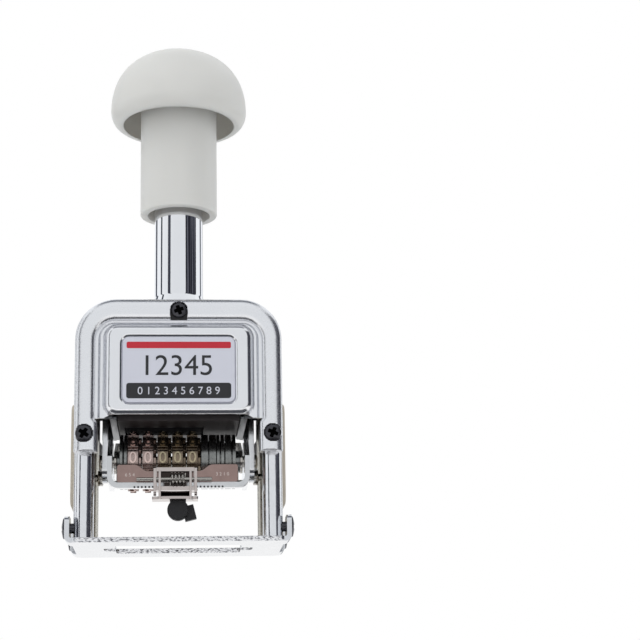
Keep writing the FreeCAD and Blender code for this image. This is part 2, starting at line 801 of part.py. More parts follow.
def yoke():
    """The fork: a bridge under the crown and two arms down to the wheel shaft."""
    inner_x = yoke_outer_x - yoke_sheet
    foot = wheel_height - yoke_arm_foot
    arch_line = slab_xz(
        [
            (-yoke_outer_x, foot, 0),
            (-yoke_outer_x, yoke_bridge_top, yoke_bend),
            (yoke_outer_x, yoke_bridge_top, yoke_bend),
            (yoke_outer_x, foot, 0),
            (inner_x, foot, 0),
            (inner_x, yoke_bridge_bottom, yoke_bend - yoke_sheet),
            (-inner_x, yoke_bridge_bottom, yoke_bend - yoke_sheet),
            (-inner_x, foot, 0),
        ],
        both(yoke_bridge_half_width),
    )
    shoulder = yoke_bridge_bottom - yoke_bridge_half_width
    side = slab_yz(
        [
            (-yoke_bridge_half_width, yoke_bridge_top + overrun, 0),
            (yoke_bridge_half_width, yoke_bridge_top + overrun, 0),
            (yoke_bridge_half_width, yoke_bridge_bottom, 0),
            (yoke_arm_half_width, shoulder, 0),
            (yoke_arm_half_width, foot, yoke_arm_half_width - running_clearance),
            (-yoke_arm_half_width, foot, yoke_arm_half_width - running_clearance),
            (-yoke_arm_half_width, shoulder, 0),
            (-yoke_bridge_half_width, yoke_bridge_bottom, 0),
        ],
        both(yoke_outer_x + overrun),
    )
    body = arch_line.common(side)
    across = both(yoke_outer_x + overrun)
    body = body.cut(rod_x(shaft_hole_radius, across, 0, wheel_height))
    body = body.cut(rod_x(yoke_hole_radius, across, 0, yoke_hole_height))
    body = body.cut(rod_z(rod_stud_radius + seat_clearance,
                          (yoke_bridge_bottom - overrun, yoke_bridge_top + overrun)))
    return body.removeSplitter()


def plunger_rod():
    """The steel rod: a stud for the yoke, a shoulder, and a thread in the knob."""
    thread_start = sleeve_top + rod_shoulder_height
    rod = rod_z(rod_stud_radius, (rod_foot, yoke_bridge_top))
    rod = rod.fuse(rod_z(rod_shoulder_radius, (yoke_bridge_top, yoke_bridge_top + rod_shoulder_height)))
    rod = rod.fuse(rod_z(rod_radius, (yoke_bridge_top + rod_shoulder_height, thread_start)))
    return rod.fuse(rod_z(rod_thread_radius, (thread_start, thread_start + rod_thread_length)))


def yoke_nut():
    """The hexagon nut under the yoke's bridge."""
    corners = []
    for index in range(nut_sides):
        angle = 2 * math.pi * index / nut_sides
        corners.append((nut_radius * math.cos(angle), nut_radius * math.sin(angle), 0))
    nut = slab_xy(corners, (yoke_bridge_bottom - nut_height, yoke_bridge_bottom))
    return nut.cut(rod_z(rod_stud_radius + seat_clearance, (rod_foot - overrun, yoke_bridge_bottom + overrun)))


def buffer_washer():
    """The fibre washer that meets the crown's boss at the top of the stroke."""
    top = crown_boss_bottom - print_gap
    washer = rod_z(buffer_radius, (yoke_bridge_top, top))
    return washer.cut(rod_z(rod_shoulder_radius + slide_clearance, (yoke_bridge_top - overrun, top + overrun)))


def spring_collar():
    """The collar pressed on the rod, which the return spring pushes up."""
    collar = rod_z(collar_radius, (collar_bottom, collar_bottom + collar_height))
    return collar.cut(rod_z(rod_hole_radius, (collar_bottom - overrun, collar_bottom + collar_height + overrun)))


def biarc(start, start_way, end, end_way):
    """Two arcs that leave the start and reach the end along given unit directions."""
    chord = end - start
    ways = start_way + end_way
    blend = 2 * (1 - start_way.dot(end_way))
    reach = (-chord.dot(ways) + math.sqrt(chord.dot(ways) ** 2 + blend * chord.dot(chord))) / blend
    knees = (start + start_way * reach, end - end_way * reach)
    joint = (knees[0] + knees[1]) / 2
    arcs = []
    for tail, knee, head in ((start, knees[0], joint), (joint, knees[1], end)):
        middle = (tail + head) / 2
        rise = knee - middle
        half_chord = (head - tail).Length / 2
        sagitta = half_chord * (reach - half_chord) / rise.Length
        arcs.append(Part.Arc(tail, middle + rise.normalize() * sagitta, head).toShape())
    return arcs


def coil(radius, turns, height, wire_radius, tails, name):
    """A wire coil about Z from height[0] to height[1], with a straight tail at each end, swept as one tube."""
    rise = (height[1] - height[0]) / turns / (2 * math.pi)

    def place(angle):
        return V(radius * math.cos(angle), radius * math.sin(angle), height[0] + rise * angle)

    def way(angle):
        return V(-radius * math.sin(angle), radius * math.cos(angle), rise).normalize()

    last = 2 * math.pi * turns
    edges = [Part.makeLine(place(0) - way(0) * tails[0], place(0))]
    halves = round(2 * turns)
    for index in range(halves):
        start, end = last * index / halves, last * (index + 1) / halves
        edges += biarc(place(start), way(start), place(end), way(end))
    edges.append(Part.makeLine(place(last), place(last) + way(last) * tails[1]))
    begin = place(0) - way(0) * tails[0]
    section = Part.Wire(Part.makeCircle(wire_radius, begin, way(0)))
    pipe = Part.BRepOffsetAPI.MakePipeShell(Part.Wire(edges))
    pipe.add(section)
    pipe.build()
    pipe.makeSolid()
    steps = [place(2 * math.pi * index / coil_checks) for index in range(2 * coil_checks)]
    gap = min((steps[0] - point).Length for point in steps[coil_checks // 2:]) - 2 * wire_radius
    print(f"{name}: least gap between turns {gap:.2f} mm, wanted over {coil_gap_limit} mm")
    return pipe.shape()


def main_spring():
    """The room of the return spring round the rod, as a plain tube, because the neck hides it."""
    height = (spring_bottom, spring_top)
    return rod_z(spring_radius, height).cut(rod_z(spring_radius - spring_wire, height))


def handle_sleeve():
    """The grey sleeve: a wide mouth, a guide bore on the neck, a ceiling and a spigot for the knob."""
    guide = neck_radius + slide_clearance
    return turned([
        (sleeve_mouth_radius, sleeve_bottom, 0),
        (sleeve_radius, sleeve_bottom, sleeve_edge_radius),
        (sleeve_radius, sleeve_top, 0),
        (sleeve_spigot_radius, sleeve_top, 0),
        (sleeve_spigot_radius, sleeve_top + sleeve_spigot_length, 0),
        (insert_radius, sleeve_top + sleeve_spigot_length, 0),
        (insert_radius, sleeve_top, 0),
        (rod_hole_radius, sleeve_top, 0),
        (rod_hole_radius, sleeve_ceiling, 0),
        (guide, sleeve_ceiling, 0),
        (guide, sleeve_bottom + sleeve_mouth_depth, 0),
        (sleeve_mouth_radius, sleeve_bottom + sleeve_mouth_depth, 0),
    ])


insert_radius = 5.5
insert_bottom = sleeve_top + rod_shoulder_height
insert_height = 7.0
dome_pull_shares = (0.6, 0.65)
rim_pull_shares = (0.62, 0.42)


def dome_edge(radius, top, widest):
    """A quarter of the dome as a curve: flatter on top than a circle, from the crest out to the widest ring."""
    crest_share, side_share = dome_pull_shares
    curve = Part.BezierCurve()
    curve.setPoles([
        V(0, 0, top),
        V(radius * crest_share, 0, top),
        V(radius, 0, widest + (top - widest) * side_share),
        V(radius, 0, widest),
    ])
    return curve.toShape()


def rim_edge(radius, widest, rim_radius, rim_height):
    """The lower curve of the knob, tucked in from the widest ring to the rim."""
    side_share, rim_share = rim_pull_shares
    curve = Part.BezierCurve()
    curve.setPoles([
        V(radius, 0, widest),
        V(radius, 0, widest - (widest - rim_height) * side_share),
        V(rim_radius + (radius - rim_radius) * rim_share, 0, rim_height),
        V(rim_radius, 0, rim_height),
    ])
    return curve.toShape()


def bowl(radius, top, widest, rim_radius, rim_height):
    """A closed solid of the knob's outer or inner form."""
    edges = [dome_edge(radius, top, widest), rim_edge(radius, widest, rim_radius, rim_height)]
    edges.append(Part.makeLine(V(rim_radius, 0, rim_height), V(0, 0, rim_height)))
    edges.append(Part.makeLine(V(0, 0, rim_height), V(0, 0, top)))
    return Part.Face(Part.Wire(edges)).revolve(V(0, 0, 0), V(0, 0, 1), 360)


def knob():
    """The knob: a hollow dome, open below, with a boss that seats on the sleeve."""
    shell = bowl(knob_radius, knob_top, knob_widest, knob_rim_radius, knob_rim_height)
    mouth = knob_rim_radius - knob_wall / 2
    hollow = bowl(knob_radius - knob_wall, knob_top - knob_wall, knob_widest, mouth, knob_rim_height)
    boss = rod_z(sleeve_radius, (sleeve_top, knob_top - knob_wall))
    hollow = hollow.cut(boss)
    body = shell.cut(hollow)
    socket_top = sleeve_top + sleeve_spigot_length + seat_clearance
    body = body.cut(rod_z(sleeve_spigot_radius + seat_clearance, (sleeve_top - overrun, socket_top)))
    return body.cut(rod_z(insert_radius, (sleeve_top, insert_bottom + insert_height))).removeSplitter()


def knob_insert():
    """The brass insert moulded into the knob, tapped for the rod."""
    top = insert_bottom + insert_height - seat_clearance
    insert = rod_z(insert_radius - seat_clearance, (insert_bottom, top))
    return insert.cut(rod_z(rod_thread_radius + running_clearance, (insert_bottom - overrun,
                                                                    insert_bottom + rod_thread_length)))


# Wheel case details
detent_rod_y = follower_reach
detent_rod_z = -5.0
detent_rod_radius = 0.9
pawl_thickness = 0.7
pawl_clearance = 0.15
pawl_eye_radius = 1.7
pawl_nose_angle = -55.0
pawl_nose_radius = 0.5
comb_sheet = 0.4
comb_gap = 0.15
comb_bottom = 20.9
comb_root_top = 21.7
comb_top = 23.3
comb_finger_width = 1.6
plate_sheet = 0.8
plate_front = 11.6
plate_left = -18.6
plate_right = 18.0
plate_high = 24.4
plate_low = 22.4
plate_left_step = -12.5
plate_right_step = 9.5
plate_slope = 2.6
blank_radius = 8.4
blank_groove_radius = 6.4
spacer_radius = 3.4
feed_bar_radius = 11.7
feed_bar_thickness = 1.0
feed_bar_half_width = 1.6
feed_rest_angle = 30.0
feed_hub_radius = 3.6
pivot_head_radius = 2.2
pivot_head_thickness = 1.2
pivot_stud_radius = 1.0
pivot_stud_length = 3.0


def wheel_x(index):
    """The middle of a figure wheel along the shaft."""
    return first_wheel_x + wheel_pitch * index


def type_left(index):
    """The left side of a figure wheel."""
    return wheel_x(index) - wheel_pitch / 2 + wheel_gap / 2


def slot_middle(index):
    """The middle of the gap between the type of one wheel and the next, over the ratchet ring."""
    return type_left(index) + (2 * type_half_width + wheel_pitch) / 2


def follower_place():
    """Where the follower's pin lies at rest, as Y and Z."""
    place = cam_path(0, 0)
    return place.y, place.z


def case_frame():
    """The strip that carries the wheels: two cheeks, a bottom bar in front, and index notches under it."""
    top = case_bar_bottom + case_bar_height
    front = (-case_bar_front, -case_bar_front + case_bar_depth)
    knee = wheel_height
    pin_at_y, pin_at_z = follower_place()
    strip = slab_xz(
        [
            (-case_outer_x, knee, 0),
            (-case_outer_x, case_bar_bottom, case_bend),
            (case_outer_x, case_bar_bottom, case_bend),
            (case_outer_x, knee, 0),
            (case_inner_x, knee, 0),
            (case_inner_x, top, case_bend - case_sheet),
            (-case_inner_x, top, case_bend - case_sheet),
            (-case_inner_x, knee, 0),
        ],
        front,
    )
    cheek = slab_yz(
        [
            (-case_bar_front, case_bar_bottom + case_bend, 0),
            (-case_bar_front, wheel_height, 0),
            (-case_top / 2, wheel_height + case_top, case_top / 2),
            (case_top / 2, wheel_height + case_top, case_top / 2),
            (pin_at_y + case_boss_radius, pin_at_z + case_boss_radius, case_boss_radius),
            (detent_rod_y + case_boss_radius, wheel_height + detent_rod_z - case_boss_radius, case_boss_radius),
            (-case_bar_front + case_bar_depth, case_bar_bottom + case_bend, 0),
        ],
        (case_inner_x, case_outer_x),
    )
    body = strip.multiFuse([cheek, mirror_x(cheek)])
    across = both(case_outer_x + overrun)
    body = body.cut(rod_x(shaft_radius, across, 0, wheel_height))
    follower_hole = rod_x(follower_radius, (case_middle_x, case_outer_x + overrun), pin_at_y, pin_at_z)
    body = body.cut(follower_hole).cut(mirror_x(follower_hole))
    body = body.cut(rod_x(detent_rod_radius, both(case_middle_x), detent_rod_y, wheel_height + detent_rod_z))
    notches = []
    for index in range(index_count):
        x = index_pitch * (index - (index_count - 1) / 2)
        notches.append(block((x - index_notch / 2, x + index_notch / 2),
                             (-case_bar_front - overrun, -case_bar_front + index_notch),
                             (case_bar_bottom - overrun, case_bar_bottom + index_notch)))
    return body.cut(Part.Compound(notches)).removeSplitter()


def wheel_shaft():
    """The shaft through yoke, case and wheels, tapped at both ends."""
    shaft = rod_x(shaft_radius, both(yoke_outer_x), 0, wheel_height)
    for side in (-1, 1):
        tapped = sorted((side * yoke_outer_x, side * (yoke_outer_x - pivot_stud_length)))
        shaft = shaft.cut(rod_x(pivot_stud_radius, tapped, 0, wheel_height))
    return shaft


def pivot_screws():
    """The two screws in the shaft's ends."""
    one = screw(pivot_head_radius, pivot_head_thickness, pivot_stud_radius - running_clearance / 2,
                pivot_stud_length - seat_clearance)
    one.rotate(V(0, 0, 0), V(0, 0, 1), 90)
    one.translate(V(yoke_outer_x + slide_clearance + pivot_head_thickness, 0, wheel_height))
    return Part.Compound([one, mirror_x(one)])


def cam_followers():
    """The two pins on the case that run in the turning slots, each with a black disc inside its cam plate."""
    y, z = follower_place()
    one = rod_x(follower_radius, (case_middle_x, cam_outer_x - slide_clearance), y, z)
    disc = rod_x(follower_disc_radius, (follower_disc_x, follower_disc_x + follower_disc_thickness), y, z)
    one = one.fuse(disc)
    return Part.Compound([one, mirror_x(one)])


def polar(radius, angle):
    """A point of a side outline about the wheel shaft."""
    turn = math.radians(angle)
    return radius * math.cos(turn), wheel_height + radius * math.sin(turn)


def rim_prism(stretches, x):
    """A prism along X round the shaft, from arcs (radius, first angle, last angle) joined by straight lines."""
    edges = []
    for index, (radius, first, last) in enumerate(stretches):
        start, middle, end = [in_yz(*polar(radius, angle)) for angle in (first, (first + last) / 2, last)]
        if last > first:
            edges.append(Part.Arc(start, middle, end).toShape())
        next_radius, next_first = stretches[(index + 1) % len(stretches)][:2]
        edges.append(Part.makeLine(end, in_yz(*polar(next_radius, next_first))))
    face = Part.Face(Part.Wire(edges))
    face.translate(V(x[0], 0, 0))
    return face.extrude(V(x[1] - x[0], 0, 0))


def figure_wheel(index):
    """One figure wheel: ten type blocks round a drum, and a ratchet ring on its right side."""
    left = type_left(index)
    right = left + 2 * type_half_width
    end = right + ratchet_width
    at_top = math.degrees(math.asin(type_half_length / block_radius))
    at_foot = math.degrees(math.asin(type_half_length / drum_radius))
    tooth_turn = math.degrees(type_half_length / ratchet_radius)
    blocks = []
    teeth = []
    for count in range(type_count):
        middle = type_step * count
        blocks.append((block_radius, middle - at_top, middle + at_top))
        blocks.append((drum_radius, middle + at_foot, middle + type_step - at_foot))
        valley = middle + type_step / 2
        teeth.append((ratchet_radius - ratchet_depth, valley, valley))
        teeth.append((ratchet_radius, valley + tooth_turn, valley + type_step))
    body = rim_prism(blocks, (left, right)).fuse(rim_prism(teeth, (right, end)))
    return body.cut(rod_x(shaft_hole_radius, (left - overrun, end + overrun), 0, wheel_height))


def lands(edges, spacer_end):
    """A blank wheel: lands between pairs of edges on one drum, and a thin spacer up to the next piece."""
    body = rod_x(blank_groove_radius, (edges[0], edges[-1]), 0, wheel_height)
    for index in range(0, len(edges), 2):
        body = body.fuse(rod_x(blank_radius, (edges[index], edges[index + 1]), 0, wheel_height))
    body = body.fuse(rod_x(spacer_radius, sorted((edges[-1] if spacer_end > 0 else edges[0], spacer_end)), 0,
                           wheel_height))
    across = both(case_inner_x)
    return body.cut(rod_x(shaft_radius + seat_clearance, across, 0, wheel_height)).removeSplitter()


def blank_wheels():
    """The three blank wheels that fill the shaft to the right of the figures."""
    placed = [[wheels_right + edge for edge in edges] for edges in blank_lands]
    ends = [edges[0] - seat_clearance for edges in placed[1:]] + [feed_arm_x - seat_clearance]
    return Part.Compound([lands(edges, end) for edges, end in zip(placed, ends)])


def left_collar():
    """The collar to the left of the figures."""
    return lands([wheels_left + edge for edge in collar_lands], -feed_arm_x + seat_clearance)


def feed_arm():
    """One arm of the feed frame, from its eye on the shaft to the bar, with the bar straight behind the shaft."""
    end = feed_bar_radius + feed_bar_thickness
    arm = slab_yz(
        [
            (0, wheel_height - feed_hub_radius, 0),
            (end, wheel_height - feed_bar_half_width, 0),
            (end, wheel_height + feed_bar_half_width, 0),
            (0, wheel_height + feed_hub_radius, 0),
        ],
        (feed_arm_x, feed_arm_x + feed_arm_sheet),
    )
    arm = arm.fuse(rod_x(feed_hub_radius, (feed_arm_x, feed_arm_x + feed_arm_sheet), 0, wheel_height))
    return arm.cut(rod_x(shaft_hole_radius, both(case_inner_x), 0, wheel_height))


def feed_frame():
    """The swinging frame that carries the feed pawls: two arms and a bar behind the wheels."""
    arm = feed_arm()
    bar = block(both(feed_arm_x + feed_arm_sheet), (feed_bar_radius, feed_bar_radius + feed_bar_thickness),
                (wheel_height - feed_bar_half_width, wheel_height + feed_bar_half_width))
    body = arm.multiFuse([mirror_x(arm), bar]).removeSplitter()
    return turn_x(body, feed_rest_angle, 0, wheel_height)


def feed_pawl():
    """The comb of feed pawls: a strip on the bar with one finger over each ratchet ring."""
    tip = ratchet_radius + pawl_clearance
    strip_top = wheel_height + feed_bar_half_width
    ends = (slot_middle(0) - wheel_pitch / 2, slot_middle(wheel_count - 1) + wheel_pitch / 2)
    strip = block(ends, (feed_bar_radius, feed_bar_radius + feed_bar_thickness),
                  (strip_top, strip_top + comb_sheet))
    fingers = []
    for index in range(wheel_count):
        middle = slot_middle(index)
        fingers.append(slab_yz(
            [
                (feed_bar_radius + feed_bar_thickness, strip_top, 0),
                (feed_bar_radius + feed_bar_thickness, strip_top + comb_sheet, 0),
                (feed_bar_radius - pawl_nose_radius, strip_top + comb_sheet, 0),
                (tip, wheel_height + pawl_nose_radius, 0),
                (tip, wheel_height, 0),
                (tip + pawl_nose_radius, wheel_height, 0),
                (feed_bar_radius - pawl_clearance, strip_top, 0),
            ],
            (middle - pawl_thickness / 2, middle + pawl_thickness / 2),
        ))
    return turn_x(strip.multiFuse(fingers).removeSplitter(), feed_rest_angle, 0, wheel_height)


def detent_rod():
    """The rod that carries the detent pawls."""
    return rod_x(detent_rod_radius, both(case_middle_x - seat_clearance), detent_rod_y, wheel_height + detent_rod_z)


def detent_pawls():
    """Five pawls that hold the wheels in place, each an eye on the rod with an arm to its ratchet ring."""
    tip_y, tip_z = polar(ratchet_radius + pawl_clearance, pawl_nose_angle)
    eye_z = wheel_height + detent_rod_z
    corners = [
        (tip_y, tip_z, 0),
        (tip_y, tip_z - 2 * pawl_nose_radius, 0),
        (detent_rod_y + pawl_eye_radius, eye_z - pawl_eye_radius, pawl_eye_radius),
        (detent_rod_y + pawl_eye_radius, eye_z + pawl_eye_radius, pawl_eye_radius),
        (detent_rod_y - pawl_eye_radius, eye_z + pawl_eye_radius, 0),
    ]
    pawl = slab_yz(corners, both(pawl_thickness / 2))
    pawl = pawl.cut(rod_x(detent_rod_radius + running_clearance, both(pawl_thickness), detent_rod_y, eye_z))
    pawls = []
    for index in range(wheel_count):
        copy = pawl.copy()
        copy.translate(V(slot_middle(index), 0, 0))
        pawls.append(copy)
    return Part.Compound(pawls)


def comb_spring():
    """The comb spring behind the detent rod: a strip between the cheeks with one finger for each pawl."""
    front = detent_rod_y + pawl_eye_radius + comb_gap
    sheet = (front, front + comb_sheet)
    root = block(both(case_inner_x - seat_clearance), sheet, (comb_bottom, comb_root_top))
    fingers = []
    for index in range(wheel_count):
        middle = slot_middle(index)
        fingers.append(block((middle - comb_finger_width / 2, middle + comb_finger_width / 2), sheet,
                             (comb_root_top, comb_top)))
    return root.multiFuse(fingers).removeSplitter()


def scale_plate():
    """The brown plate in front of the wheels, high at both ends and lower behind the selector."""
    foot = case_bar_bottom + case_bar_height
    corners = [
        (plate_left, foot, plate_sheet),
        (plate_left, plate_high, plate_sheet),
        (plate_left_step, plate_high, plate_slope),
        (plate_left_step + plate_slope, plate_low, plate_slope),
        (plate_right_step - plate_slope, plate_low, plate_slope),
        (plate_right_step, plate_high, plate_slope),
        (plate_right, plate_high, plate_sheet),
        (plate_right, foot, plate_sheet),
    ]
    return slab_xz(corners, (-plate_front, -plate_front + plate_sheet))


# Selector
selector_left = -7.5
selector_right = 5.5
selector_sheet = 0.8
selector_front = 15.0
selector_top = 23.2
selector_cheek_bottom = 14.5
selector_window_bottom = 17.5
selector_window_top = 22.0
selector_roof_back = 11.2
selector_hook_left = -5.2
selector_hook_right = 3.2
selector_lip_top = 18.3
selector_radius = 1.0
pin_y = -14.0
pin_z = 19.5
selector_pin_radius = 0.55
selector_pin_left = -12.6
selector_pin_right = 10.0
lever_left = -6.0
lever_right = 3.9
lever_sheet = 0.7
lever_foot_left = -7.9
lever_foot_right = 5.8
lever_foot_bottom = 13.4
lever_foot_top = 14.2
lever_foot_bow = 0.9
lever_back = -13.6
lever_knee = 16.2
lever_rear = -8.5
lever_point = 22.2
selector_spring_radius = 1.7
selector_wire_radius = 0.3
selector_spring_turns = 4
selector_spring_left = -2.35
selector_spring_right = 1.85
selector_tail_down = 1.8
selector_tail_up = 2.0
knob_disc_x = -0.2
knob_disc_z = 10.65
knob_disc_radius = 3.2
knob_disc_front = -11.5
knob_disc_back = -9.0
knob_neck_half_width = 2.4
knob_pad_left = 1.5
knob_pad_right = 4.95
knob_pad_back = -7.6
knob_pad_bottom = 7.65
knob_pad_top = 12.1
knob_pad_tilt = -14.0


def selector_slide():
    """The bracket that shifts along the case: it hooks over the scale plate and under the bar."""
    width = (selector_left, selector_right)
    back = (-case_bar_front - running_clearance - selector_sheet, -case_bar_front - running_clearance)
    floor_top = case_bar_bottom - slide_clearance
    floor_bottom = floor_top - selector_sheet
    rear = -case_bar_front + case_bar_depth + slide_clearance
    panel = block(width, back, (floor_bottom, selector_top))
    panel = panel.cut(block((selector_left + selector_radius, selector_right - selector_radius),
                            (back[0] - overrun, back[1] + overrun), (selector_window_bottom, selector_window_top)))
    roof = block((selector_hook_left, selector_hook_right), (back[0], -selector_roof_back),
                 (plate_low + slide_clearance, selector_top))
    floor = block(width, (back[0], rear + selector_sheet), (floor_bottom, floor_top))
    lip = block(width, (rear, rear + selector_sheet), (floor_bottom, selector_lip_top))
    cheek = slab_yz(
        [
            (-selector_front, selector_cheek_bottom, selector_radius),
            (-selector_front, selector_top, selector_radius),
            (back[1], selector_top, 0),
            (back[1], selector_cheek_bottom, selector_radius),
        ],
        (selector_left, selector_left + selector_sheet),
    )
    other = cheek.copy()
    other.translate(V(selector_right - selector_left - selector_sheet, 0, 0))
    body = panel.multiFuse([roof, floor, lip, cheek, other])
    return body.cut(rod_x(selector_pin_radius, (selector_left - overrun, selector_right + overrun), pin_y,
                          pin_z)).removeSplitter()


def selector_pin():
    """The pin that the selector's lever turns on."""
    return rod_x(selector_pin_radius - running_clearance / 2, (selector_pin_left, selector_pin_right), pin_y, pin_z)


def selector_spring():
    """The torsion spring on the pin, with both tails behind it."""
    spring = coil(selector_spring_radius, selector_spring_turns, (0, selector_spring_right - selector_spring_left),
                  selector_wire_radius, (selector_tail_down, selector_tail_up), "selector_spring")
    spring.rotate(V(0, 0, 0), V(0, 1, 0), 90)
    spring.rotate(V(0, 0, 0), V(1, 0, 0), 90)
    spring.translate(V(selector_spring_left, pin_y, pin_z))
    return spring


def selector_lever():
    """The sprung lever: two pointed cheeks on the pin and a bowed foot that carries the knob."""
    cheek = slab_yz(
        [
            (pin_y - selector_radius, lever_foot_bottom, 0),
            (pin_y - selector_radius, pin_z + selector_radius, 0),
            (pin_y - selector_pin_radius, lever_point, 0),
            (lever_back, pin_z + selector_radius, 0),
            (lever_back, lever_knee, 0),
            (lever_rear, lever_foot_top, 0),
            (lever_rear, lever_foot_bottom, 0),
        ],
        (lever_left, lever_left + lever_sheet),
    )
    other = cheek.copy()
    other.translate(V(lever_right - lever_left - lever_sheet, 0, 0))
    middle = (lever_foot_left + lever_foot_right) / 2
    front = -selector_front
    bow = Part.Arc(V(lever_foot_left, front + lever_foot_bow, 0), V(middle, front, 0),
                   V(lever_foot_right, front + lever_foot_bow, 0)).toShape()
    sides = [V(lever_foot_right, front + lever_foot_bow, 0), V(lever_foot_right, lever_rear, 0),
             V(lever_foot_left, lever_rear, 0), V(lever_foot_left, front + lever_foot_bow, 0)]
    edges = [bow] + [Part.makeLine(a, b) for a, b in zip(sides, sides[1:])]
    foot = Part.Face(Part.Wire(edges))
    foot.translate(V(0, 0, lever_foot_bottom))
    foot = foot.extrude(V(0, 0, lever_foot_top - lever_foot_bottom))
    body = foot.multiFuse([cheek, other])
    return body.cut(rod_x(selector_pin_radius + running_clearance, (selector_left, selector_right), pin_y,
                          pin_z)).removeSplitter()


def selector_knob():
    """The black knob under the lever: a disc facing the user and a tilted grip pad behind it."""
    disc = rod_y(knob_disc_radius, (knob_disc_front, knob_disc_back), knob_disc_x, knob_disc_z)
    rim = edges_where(disc, lambda point: near(point.y, knob_disc_front))
    disc = disc.makeChamfer(selector_wire_radius, rim)
    grip = block((knob_pad_left, knob_pad_right), (knob_disc_back - overrun, knob_pad_back),
                 (knob_pad_bottom, knob_pad_top))
    middle = V((knob_pad_left + knob_pad_right) / 2, 0, (knob_pad_bottom + knob_pad_top) / 2)
    grip.rotate(middle, V(0, 1, 0), knob_pad_tilt)
    neck = block((knob_disc_x - knob_neck_half_width, knob_disc_x + knob_neck_half_width),
                 (knob_disc_front, knob_disc_back), (knob_disc_z, lever_foot_bottom))
    body = disc.multiFuse([grip, neck])
    across = both(knob_disc_radius + knob_pad_right)
    above = block(across, (knob_disc_front - overrun, 0), (lever_foot_bottom, lever_foot_bottom + knob_disc_radius))
    return body.cut(above).removeSplitter()


def build():
    """Every node by name."""
    right_cam = cam_plate()
    right_side = side_cover()
    parts = {
        "base_plate": base_plate(),
        "post_front_left": post(-1, -1),
        "post_front_right": post(1, -1),
        "post_rear_left": post(-1, 1),
        "post_rear_right": post(1, 1),
        "front_frame": arch(),
        "rear_frame": mirror_y(arch()),
        "crown": crown(),
        "front_cover": front_cover(),
        "rear_cover": rear_cover(),
        "name_plate": name_plate(),
        "neck_tube": neck_tube(),
        "rod_bush": rod_bush(),
        "cam_plate_left": mirror_x(right_cam),
        "cam_plate_right": right_cam,
        "side_cover_left": mirror_x(right_side),
        "side_cover_right": right_side,
        "base_screws": base_screws(),
        "leg_screws": leg_screws(),
        "top_screws": top_screws(),
        "pad_carrier": pad_carrier(),
        "pad_tray": pad_tray(),
        "ink_pad": ink_pad(),
        "yoke": yoke(),
        "yoke_nut": yoke_nut(),
        "buffer_washer": buffer_washer(),
        "plunger_rod": plunger_rod(),
        "spring_collar": spring_collar(),
        "main_spring": main_spring(),
        "handle_sleeve": handle_sleeve(),
        "knob": knob(),
        "knob_insert": knob_insert(),
        "case_frame": case_frame(),
        "wheel_shaft": wheel_shaft(),
        "pivot_screws": pivot_screws(),
        "cam_followers": cam_followers(),
        "blank_wheels": blank_wheels(),
        "left_collar": left_collar(),
        "scale_plate": scale_plate(),
        "detent_rod": detent_rod(),
        "detent_pawls": detent_pawls(),
        "comb_spring": comb_spring(),
        "feed_frame": feed_frame(),
        "feed_pawl": feed_pawl(),
        "selector_slide": selector_slide(),
        "selector_pin": selector_pin(),
        "selector_spring": selector_spring(),
        "selector_lever": selector_lever(),
        "selector_knob": selector_knob(),
    }
    names = ("ten_thousands_wheel", "thousands_wheel", "hundreds_wheel", "tens_wheel", "units_wheel")
    for index, name in enumerate(names):
        parts[name] = figure_wheel(index)
    return parts


def main():
    """Write one STEP file for each node."""
    os.makedirs("parts", exist_ok=True)
    for name, shape in build().items():
        if not shape.isValid():
            print(f"{name} is not a valid shape")
        shape.exportStep(f"parts/{name}.step")


main()
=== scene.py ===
"""A hand-pressed numbering machine in chrome and grey plastic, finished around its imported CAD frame."""

import json
import math

import bmesh
import bpy
import numpy as np
from bpy.props import FloatProperty, FloatVectorProperty, PointerProperty
from mathutils import Matrix, Vector

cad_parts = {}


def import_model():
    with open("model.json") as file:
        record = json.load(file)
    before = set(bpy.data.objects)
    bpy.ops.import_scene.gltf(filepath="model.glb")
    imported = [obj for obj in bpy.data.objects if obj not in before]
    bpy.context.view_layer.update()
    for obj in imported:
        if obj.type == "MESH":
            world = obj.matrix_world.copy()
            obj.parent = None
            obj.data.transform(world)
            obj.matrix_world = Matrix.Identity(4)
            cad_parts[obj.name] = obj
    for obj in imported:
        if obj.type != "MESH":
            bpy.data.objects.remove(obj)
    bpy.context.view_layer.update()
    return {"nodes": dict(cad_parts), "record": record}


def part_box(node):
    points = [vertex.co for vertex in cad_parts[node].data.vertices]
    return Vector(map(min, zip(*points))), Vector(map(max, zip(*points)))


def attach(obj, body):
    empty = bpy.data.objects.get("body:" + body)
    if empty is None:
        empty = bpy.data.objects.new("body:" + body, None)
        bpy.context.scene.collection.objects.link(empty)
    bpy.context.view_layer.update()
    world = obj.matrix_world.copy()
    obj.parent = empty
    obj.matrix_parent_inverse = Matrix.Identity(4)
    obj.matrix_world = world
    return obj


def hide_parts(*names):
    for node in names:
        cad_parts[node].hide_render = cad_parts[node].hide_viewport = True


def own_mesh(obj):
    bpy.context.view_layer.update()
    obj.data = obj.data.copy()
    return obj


bl_info = {
    "name": "Numbering Machine",
    "version": (1, 0, 0),
    "blender": (4, 5, 0),
    "location": "View3D > Sidebar > Numbering Machine",
    "description": "Finishes a hand-pressed numbering machine around its CAD frame",
    "category": "Object",
}

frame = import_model()
MM = 0.001
SLOT = {part["node"]: part["material_slot"] for part in frame["record"]["subparts"]}
BODY = {node: body for body, nodes in frame["record"]["behaviour"]["bodies"].items() for node in nodes}
WHEELS = ("ten_thousands", "thousands", "hundreds", "tens", "units")

# The photograph's camera, fitted to the machine's corners
PICTURE_WIDTH = 640
FOCAL_PIXELS = 1685
SENSOR_WIDTH = 36.0
CAMERA_PLACE = (-1.85, -516.7, -58.35)
CAMERA_YAW = 0.0899
CAMERA_PITCH = 0.2465
CAMERA_ROLL = -0.0203

